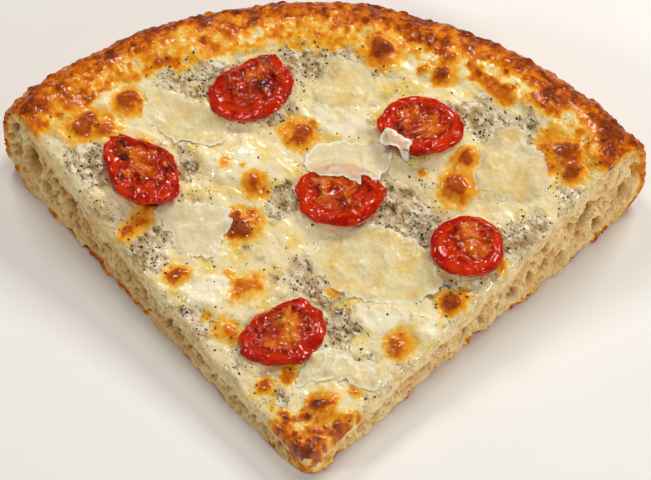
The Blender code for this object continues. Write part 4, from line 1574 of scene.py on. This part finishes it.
def wrinkled_surface(points, amount, seed):
    """The surface with wrinkles and creases along its normals, and whether those point outwards."""
    normal = grid_normals(np.concatenate([points[:, -3:], points, points[:, :3]], axis=1))[:, 3:-3]
    x, y, z = np.moveaxis(points, -1, 0)
    wrinkle = 0.26 * rough(x, y, 0.5 * z, 4.5, 2, seed) + 0.03 * rough(x, y, z, 1.4, 2, seed + 1)
    fold = rough(x + 1.2 * rough(x, y, z, 4.0, 2, seed + 2), y, z, 3.8, 1, seed + 3)
    wrinkle = (wrinkle + 0.34 * np.maximum(0, 1 - np.abs(fold) / 0.3) - 0.1) * amount
    wrinkle[:2], wrinkle[-2:] = 0, wrinkle[-2:].mean()
    outwards = np.sign((normal[OUTSIDE_ROW] * (points[OUTSIDE_ROW] - points.mean((0, 1)))).sum())
    points = points + outwards * normal * wrinkle[..., None]
    points[0], points[-1] = points[0].mean(0), points[-1].mean(0)
    return points, outwards > 0


# %% Tomato halves
TOMATO_DEPTH, TOMATO_SUNK = 5.6, 0.8


def turned(axis, angle):
    """The matrix of a turn about x, y or z."""
    i, j = {"x": (1, 2), "y": (2, 0), "z": (0, 1)}[axis]
    matrix = np.eye(3)
    matrix[i, i] = matrix[j, j] = math.cos(angle)
    matrix[i, j], matrix[j, i] = -math.sin(angle), math.sin(angle)
    return matrix


def pose_of(number):
    """Middle in mm and turn of one half, from its CAD solid's place."""
    x, y, _, _, *angles = TOMATOES[number - 1]
    heading, pitch, roll = (math.radians(v) for v in angles)
    low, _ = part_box(f"tomato_half_{number}")
    turn = turned("z", heading) @ turned("y", pitch) @ turned("x", roll)
    return np.array([x, APEX_Y + y, low[2] / MM + TOMATO_DEPTH - TOMATO_SUNK]), turn


tomatoes, tomato_tops = [], []
for number in range(1, len(TOMATOES) + 1):
    points, pulp, char = tomato_surface(number)
    points, outwards = wrinkled_surface(points, TOMATO_LOOKS[number - 1][2], 160 + 5 * number)
    place, turn = pose_of(number)
    faces = grid_faces(*pulp.shape, closed=True, turned=not outwards)
    values = {"pulp": pulp, "char": char, "wet": np.full(pulp.shape, TOMATO_WET[number - 1])}
    placed = points.reshape(-1, 3) @ turn.T + place
    half = make_piece(f"roasted_tomato_half_{number}", placed, faces, values, tomato_material)
    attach(half, "root")
    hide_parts(f"tomato_half_{number}")
    tomatoes.append(half)
    tomato_tops.append((points, pulp, place, turn))

# %% [markdown]
# ## Tomato seeds
#
# The seeds sit half sunk in the pulp, flat teardrops about two millimetres long. They go where the pulp is
# thickest, a different number in each half, and are joined into one mesh because they are all one kind of
# thing. A particle system could scatter them too, but plain points and faces come out the same in any
# viewer.

# %% Shape of a seed
SEED_LENGTH, SEED_WIDTH, SEED_DEPTH = 2.3, 1.5, 0.8


def seed_shape(rows=7, columns=10):
    """A flat teardrop as a grid of rings from end to end."""
    t = np.linspace(0, 1, rows)[:, None]
    turn = np.linspace(0, math.tau, columns, endpoint=False)[None, :]
    girth = np.sin(math.pi * t**0.8) * (1 - 0.25 * t)
    x = (t - 0.45) * SEED_LENGTH + 0 * turn
    return np.stack([x, 0.5 * SEED_WIDTH * girth * np.cos(turn), 0.5 * SEED_DEPTH * girth * np.sin(turn)], -1)


# %% Seeds
SEED_COUNTS = (4, 3, 8, 5, 8, 4)
SEED_GAP, SEED_SUNK = 1.9, 0.2
FIRST_PULP_ROW = 70
chance = np.random.default_rng(7)
seed_points, seed_faces = [], []
shape = seed_shape()
for (points, pulp, place, turn), count in zip(tomato_tops, SEED_COUNTS):
    rows, columns = pulp.shape
    spots = [(r, c) for r in range(FIRST_PULP_ROW, rows - 3) for c in range(0, columns, 4)]
    spots = [spot for spot in spots if pulp[spot] > 0.3]
    placed = []
    for r, c in chance.permutation(spots):
        at = points[r, c]
        if len(placed) == count:
            break
        if any(np.linalg.norm(at - other) < SEED_GAP for other in placed):
            continue
        placed.append(at)
        angle, tilt = chance.uniform(0, math.tau), chance.uniform(-0.35, 0.35)
        spin = turned("z", angle) @ turned("y", tilt)
        local = shape.reshape(-1, 3) * chance.uniform(0.8, 1.1) @ spin.T + at - [0, 0, SEED_SUNK]
        seed_faces += grid_faces(*shape.shape[:2], start=sum(map(len, seed_points)), closed=True)
        seed_points.append(local @ turn.T + place)
seeds = make_piece("tomato_seeds", np.concatenate(seed_points), seed_faces, {}, seed_material)
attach(seeds, "root")

# %% [markdown]
# ## Shavings of hard cheese
#
# The shavings went on before baking: thin curls that softened and sank onto whatever was below. Each is a
# thin sheet with a torn, notched edge, soft creases and a few stretches where the edge has melted in. A
# cloth simulation would drape it, but wouldn't come out the same each time. So its rest height comes from
# rays cast down at the finished topping, and the sheet is then drawn tight over the high places a little at
# a time, which bridges the hollows.

# %% Outlines of the shavings
# The torn outline of each, as x and distance from the apex in mm, and the curl of its edge in mm.
SHAVINGS = (
    (((-58, 120), (-52, 119.5), (-47, 118.5), (-46, 117), (-43, 116), (-37, 114), (-33, 113), (-30, 112),
      (-30, 110), (-30.5, 108), (-31, 105), (-33, 103), (-34, 101.5), (-37, 101.5), (-40, 102),
      (-42, 102.3), (-45, 102.5), (-48, 103), (-50, 104), (-53, 105), (-54, 107), (-56, 109),
      (-57.5, 112), (-57, 116)), 0.6),
    (((0, 134.5), (3, 135.5), (6, 134), (10, 133.5), (13, 131), (14.5, 129), (15.5, 127), (15, 124),
      (14, 121), (12, 118.5), (8, 117.5), (3, 117), (-2, 118), (-5, 120.5), (-6, 124), (-4, 127),
      (-2, 131)), 0.2),
    (((-6, 98.5), (-5, 96.5), (-3, 94.5), (-1.5, 93.6), (0, 93.6), (2, 93), (4.5, 92.6), (6, 93.2),
      (7, 94.2), (8.5, 93.2), (10, 92), (12, 90.7), (13.5, 90.5), (12, 92.5), (11.5, 94.5), (14, 94.8),
      (15, 94), (15, 92.5), (16.5, 91.8), (18, 92), (18.5, 94), (19, 96), (21, 98.5), (22, 102),
      (19, 104.5), (14, 106.5), (8, 106.5), (2, 106), (-3, 105), (-5.5, 102)), 0.5),
    (((17.6, 107.2), (19.5, 108.5), (21.5, 108.2), (23.6, 106.6), (25.6, 105.2), (28.6, 103.6),
      (27.2, 102.6), (27.7, 99.6), (26.4, 99.2), (23.8, 100.8), (20.8, 102.2), (18.2, 103.4),
      (16.8, 105.4)), 0.4),
    (((52, 107), (54, 109.5), (56.5, 112), (60, 113), (62.5, 111), (64, 109), (64.5, 107), (66, 105.5),
      (69, 104), (70.5, 102), (71, 99.5), (72, 97), (71, 94), (71.5, 91), (69, 88.5), (66, 87),
      (60, 86.5), (57, 88), (54, 90), (50, 91), (48.5, 93), (49, 96), (49, 100), (50, 103)), 0.6),
    (((-51, 80), (-52, 78), (-50, 76), (-49, 75.5), (-49, 73), (-47.5, 72), (-46, 70), (-45, 68),
      (-44, 66.5), (-42.5, 65.3), (-40, 64.5), (-37, 64.3), (-34, 64.8), (-31.5, 66), (-31, 68),
      (-30, 70), (-30, 73), (-28.5, 75), (-27.5, 77.5), (-28.5, 80), (-27, 82), (-30, 83), (-35, 82.8),
      (-40, 83), (-45, 83), (-49, 82.5)), 0.5),
    (((-4, 69.5), (-2, 67.5), (-0.5, 65.5), (0.5, 63), (2, 62), (3, 60.5), (5, 59.5), (6, 58), (8, 56.5),
      (11, 55), (14, 54), (20, 53.5), (26, 53.5), (32, 54), (35, 55), (37, 56.5), (38.5, 58), (40, 60),
      (39.5, 62), (38.5, 64), (38.5, 66), (37.5, 68), (36.5, 70.5), (35, 72), (33, 73), (31, 75),
      (27, 76.5), (24, 77.5), (20, 79.5), (16, 79.5), (12, 78.5), (8, 76), (3, 74.5), (0, 73.5),
      (1, 71.5), (-1, 70.5)), 0.7),
    (((-5, 23.5), (0, 25.5), (4, 26.5), (8, 27), (11, 27.5), (13, 26.5), (16, 25.5), (19, 25), (22, 25.5),
      (24, 27), (25.5, 29), (25.5, 32), (23, 34.5), (20, 35), (17, 34.8), (14, 36), (10, 37), (5, 38),
      (0.5, 37.5), (-1, 35), (-1, 32), (-3, 29), (-4, 26)), 1.5),
)  # fmt: skip

# %% Character of each shaving
NOTCHES = (1.7, 1.4, 1.1, 0.5, 1.8, 1.8, 1.7, 1.5)  # depth of the notches in mm
CRUMPLE = (0.14, 0.1, 0.22, 0.1, 0.2, 0.2, 0.2, 0.55)  # height of the creases in mm
CHALK = (0.2, 0.0, 0.9, 0.8, 0.15, 0.9, 0.0, 0.5)  # how white and dry each is
SUNK = (0.35, 0.85, 0.1, 0.0, 0.65, 0.3, 0.25, 0.2)  # how far each has melted into what lies below
ON_TOMATO = {3: 4, 4: 3}  # the shavings that lie on a tomato half, and which half
SHAVING_SPACING, SHAVING_THICKNESS = 0.45, 0.24


def torn(outline, seed, depth):
    """An outline with the lobes and notches of a torn edge."""
    ring = spaced(np.array(outline) + (0, APEX_Y), 0.5)
    for _ in range(3):
        ring = mix(ring, (np.roll(ring, 1, 0) + np.roll(ring, -1, 0)) / 2, 0.6)
    along = np.roll(ring, -1, 0) - np.roll(ring, 1, 0)
    outwards = np.stack([along[:, 1], -along[:, 0]], -1)
    outwards /= np.maximum(1e-9, np.linalg.norm(outwards, axis=1, keepdims=True))
    x, y = ring.T
    ragged = 0.6 + 0.5 * rough(x, y, 0.0, 5, 2, seed) - depth * np.abs(rough(x, y, 0.0, 2.8, 2, seed + 1))
    return spaced(ring + outwards * ragged[:, None], SHAVING_SPACING)


# %% What lies below
def tree_of(piece):
    mesh = piece.data
    return BVHTree.FromPolygons([v.co[:] for v in mesh.vertices], [p.vertices[:] for p in mesh.polygons])


def height_under(trees, x, y):
    """Height in mm of the highest surface below each plan position."""
    down, heights = Vector((0, 0, -1)), []
    for px, py in zip(x, y):
        hits = [tree.ray_cast(Vector((px * MM, py * MM, 1)), down)[0] for tree in trees]
        heights.append(max((hit.z / MM for hit in hits if hit is not None), default=np.nan))
    heights = np.array(heights)
    return np.where(np.isnan(heights), top_height(x, y), heights)


coat_trees = [tree_of(piece) for piece in (cream, *pools)]
print("surfaces to lie on:", len(coat_trees))

# %% Draping
DRAPE_ROUNDS = 28
MELTED_IN = 0.16  # how far in mm a melted edge has sunk


def drape(rest, edges):
    """A sheet drawn tight over the heights it rests on."""
    z = rest
    for _ in range(DRAPE_ROUNDS):
        z = np.maximum(rest, smoothed(z, edges, 1, 0.9))
    return z


def shaving_shape(number, curl, x, y, away, edges, below):
    """Heights of a shaving's lower face and the values its material reads."""
    sunk, crumple, seed = SUNK[number - 1], CRUMPLE[number - 1], 300 + 10 * number
    rest = height_under(below, x, y)
    # blush says how high a tomato half stands under the sheet; the material paints its red in as light
    # passing through.
    blush = 0 * x
    if number in ON_TOMATO:
        blush = smooth_step(0.1, 1.2, rest - height_under(support, x, y))
    lifted = smooth_step(3.5, 0, away) * np.maximum(0, 0.05 + rough(x, y, 0.0, 8, 2, seed)) * curl
    held = smooth_step(-0.2, 0.4, rough(x, y, 0.0, 7, 2, seed + 4) + 1.3 * (sunk - 0.35))
    held = held * smooth_step(0.5, 0.1, blush)
    folds = np.maximum(0, 1 - np.abs(rough(x, 0.6 * y, 0.0, 6, 2, seed + 5)) / 0.35)
    creases = crumple * (1 + rough(x, y, 0.0, 3.5, 3, seed + 1) + 1.2 * folds)
    z = drape(rest, edges) + lifted + creases * smooth_step(0, 2.5, away)
    z = mix(z, rest - MELTED_IN, held * smooth_step(1.1, 0, away))
    # pale is the paler colour of edges and crease ridges: partly dry cheese, partly a painted highlight.
    pale = smooth_step(np.maximum(0.4, 1.4 + 1.6 * rough(x, y, 0.0, 5, 3, seed + 2)), 0.1, away)
    crisp = smooth_step(-0.3, 0.5, rough(x, y, 0.0, 6, 2, seed + 6)) * smooth_step(0.95, 0.3, away)
    pale = np.maximum(pale * (1 - 0.7 * sunk), (0.85 - 0.6 * sunk) * crisp)
    pale = np.maximum(pale, 1.4 * crumple * folds)
    melt = sunk * (0.6 + 0.6 * smooth_step(-0.4, 0.4, rough(x, y, 0.0, 7, 2, seed + 3)))
    return z, {"edge": pale, "blush": blush, "melt": melt, "chalk": np.full(len(x), CHALK[number - 1])}


# %% Shavings
support = list(coat_trees)
for number, (outline, curl) in enumerate(SHAVINGS, 1):
    flat, faces, away = filled(torn(outline, 200 + 10 * number, NOTCHES[number - 1]), SHAVING_SPACING)
    x, y = flat.T
    faces = np.array(faces)
    below = support + [tree_of(tomatoes[ON_TOMATO[number] - 1])] if number in ON_TOMATO else support
    z, values = shaving_shape(number, curl, x, y, away, neighbours(faces), below)
    depth = SHAVING_THICKNESS * (0.75 + 0.25 * smooth_step(0, 1.5, away))
    lower, upper = np.column_stack([x, y, z]), np.column_stack([x, y, z + depth])
    if face_normals(lower, faces)[:, 2].sum() < 0:
        faces = faces[:, ::-1]
    count, rim = len(x), int((away == 0).sum())
    ring = np.arange(rim)
    after = (ring + 1) % rim
    strip = np.stack([ring, after, after + count, ring + count], -1)
    all_faces = faces[:, ::-1].tolist() + (faces + count).tolist() + strip.tolist()
    values = {kind: np.tile(v, 2) for kind, v in values.items()}
    points = np.concatenate([lower, upper])
    shaving = make_piece(f"shaved_hard_cheese_{number}", points, all_faces, values, shaving_material)
    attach(shaving, "root")
    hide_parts(f"parmesan_shaving_{number}")
    support.append(tree_of(shaving))

# %% [markdown]
# ## Minced truffle
#
# The larger crumbs of truffle stand out of the cream as black chips, most of them under half a millimetre.
# They are scattered by the same description that greys the cream, so they gather where it is grey, and each
# lies tilted and half sunk in the surface. All of them are one mesh, because they are too many to be pieces
# of their own.

# %% Truffle chips
CHIP_COUNT = 1600
CHIP_SMALLEST, CHIP_SPREAD = 0.2, 0.65


def chip_shape():
    """An eight-cornered chip one unit across."""
    corners = [(sx, sy, sz) for sx in (-1, 1) for sy in (-1, 1) for sz in (-1, 1)]
    faces = [(0, 1, 3, 2), (4, 6, 7, 5), (0, 4, 5, 1), (2, 3, 7, 6), (0, 2, 6, 4), (1, 5, 7, 3)]
    return 0.5 * np.array(corners, float), faces


chance = np.random.default_rng(19)
place = chance.uniform(coat_plan.min(0), coat_plan.max(0), (60000, 2))
place = place[inside(coat_ring, *place.T)]
x, y = place.T
density = (1 - white_at(x, y)) ** 1.6 * smooth_step(0.9, 0.84, way_and_side(x, y)[0]) + 0.025
clumps = 0.2 + 0.8 * smooth_step(0.0, 0.5, rough(x, y, 0.0, 3.6, 3, 91))
place = place[chance.uniform(0, 1, len(place)) < density * clumps][:CHIP_COUNT]
chip_points, chip_faces = [], []
corners, sides = chip_shape()
for n, ((px, py), pz) in enumerate(zip(place, height_under(coat_trees, *place.T))):
    size = CHIP_SMALLEST + CHIP_SPREAD * chance.uniform() ** 4
    spin = np.array(Vector(chance.normal(size=3)).to_track_quat("Z", "Y").to_matrix())
    uneven = corners * chance.uniform(0.6, 1.25, (8, 3)) * (size, size * 0.75, size * 0.5)
    chip_points.append(uneven @ spin.T + (px, py, pz + 0.1 * size))
    chip_faces += [[8 * n + c for c in side] for side in sides]
chips = make_piece("truffle_chips", np.concatenate(chip_points), chip_faces, {}, truffle_material)
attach(chips, "root")

# %% [markdown]
# ## Floor, light and camera
#
# The slice lies on a plain pale floor. Two soft lights stand behind it, and their light skims over the
# relief, draws every blister and gives wet things their small highlights. A weaker one from the left and a
# low one from the front right fill the cut faces. One large light would be softer still, but its highlights
# would spread into a grey sheen.

# %% Floor
FLOOR_HALF, FLOOR_DROP = 1500.0, 0.3  # in mm
floor_material, make, shader = new_material("pale_floor", Roughness=0.6)
make.wire(shader, Base_Color=make.blend(make.noise(60, 2.0), tint(238, 236, 232), tint(243, 242, 239)))
floor_corners = ((-1, -1), (1, -1), (1, 1), (-1, 1))
floor_points = [(x * FLOOR_HALF, y * FLOOR_HALF, -FLOOR_DROP) for x, y in floor_corners]
floor = make_piece("studio_floor", floor_points, [(0, 1, 2, 3)], {}, floor_material)
floor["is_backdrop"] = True

# %% Light
AIM = Vector((1.7, 5.2, 0.0)) * MM


def set_out(name, kind, azimuth, elevation, distance):
    """Puts a lamp or the camera out from the slice and aims it. Azimuth runs from the front to the right."""
    thing = bpy.data.objects.new(name, kind)
    a, e = math.radians(azimuth), math.radians(elevation)
    towards = Vector((math.sin(a) * math.cos(e), -math.cos(a) * math.cos(e), math.sin(e)))
    thing.location = AIM + towards * distance
    thing.rotation_euler = towards.to_track_quat("Z", "Y").to_euler()
    bpy.context.scene.collection.objects.link(thing)
    print(f"{name}: azimuth {azimuth}, elevation {elevation}, {distance} m away")
    return thing


def add_light(name, azimuth, elevation, distance, size, power, colour):
    """A square soft light."""
    lamp = bpy.data.lights.new(name, "AREA")
    lamp.shape, lamp.size, lamp.energy, lamp.color = "SQUARE", size, power, colour
    set_out(name, lamp, azimuth, elevation, distance)


add_light("softbox_behind", 146, 50, 0.9, 0.27, 3.9, (1.0, 0.97, 0.92))
add_light("softbox_behind_left", -152, 54, 0.9, 0.2, 2.1, (1.0, 0.97, 0.93))
add_light("softbox_left", -70, 36, 0.9, 0.12, 1.35, (1.0, 0.97, 0.92))
add_light("softbox_front", 45, 28, 1.1, 0.16, 4.6, (1.0, 0.98, 0.95))

# %% Air light
world = bpy.data.worlds.new("studio")
world.use_nodes = True
air = world.node_tree.nodes["Background"]
air.inputs["Color"].default_value = (1.0, 0.98, 0.95, 1.0)
air.inputs["Strength"].default_value = 0.16
bpy.context.scene.world = world
bpy.context.scene.view_settings.view_transform = "Standard"

# %% Camera
lens = bpy.data.cameras.new("camera")
lens.lens, lens.sensor_width = 138.25, 36.0
bpy.context.scene.camera = set_out("camera", lens, 3.6, 60.0, 0.814)

# %% Sizes and finish
scene_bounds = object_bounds()
sizes = {"cad": cad_bounds, "scene": scene_bounds}
{name: [[float(v) for v in corner] for corner in box] for name, box in sizes.items()}
print("scene box in mm:", [[round(v * 1000, 1) for v in corner] for corner in scene_bounds])
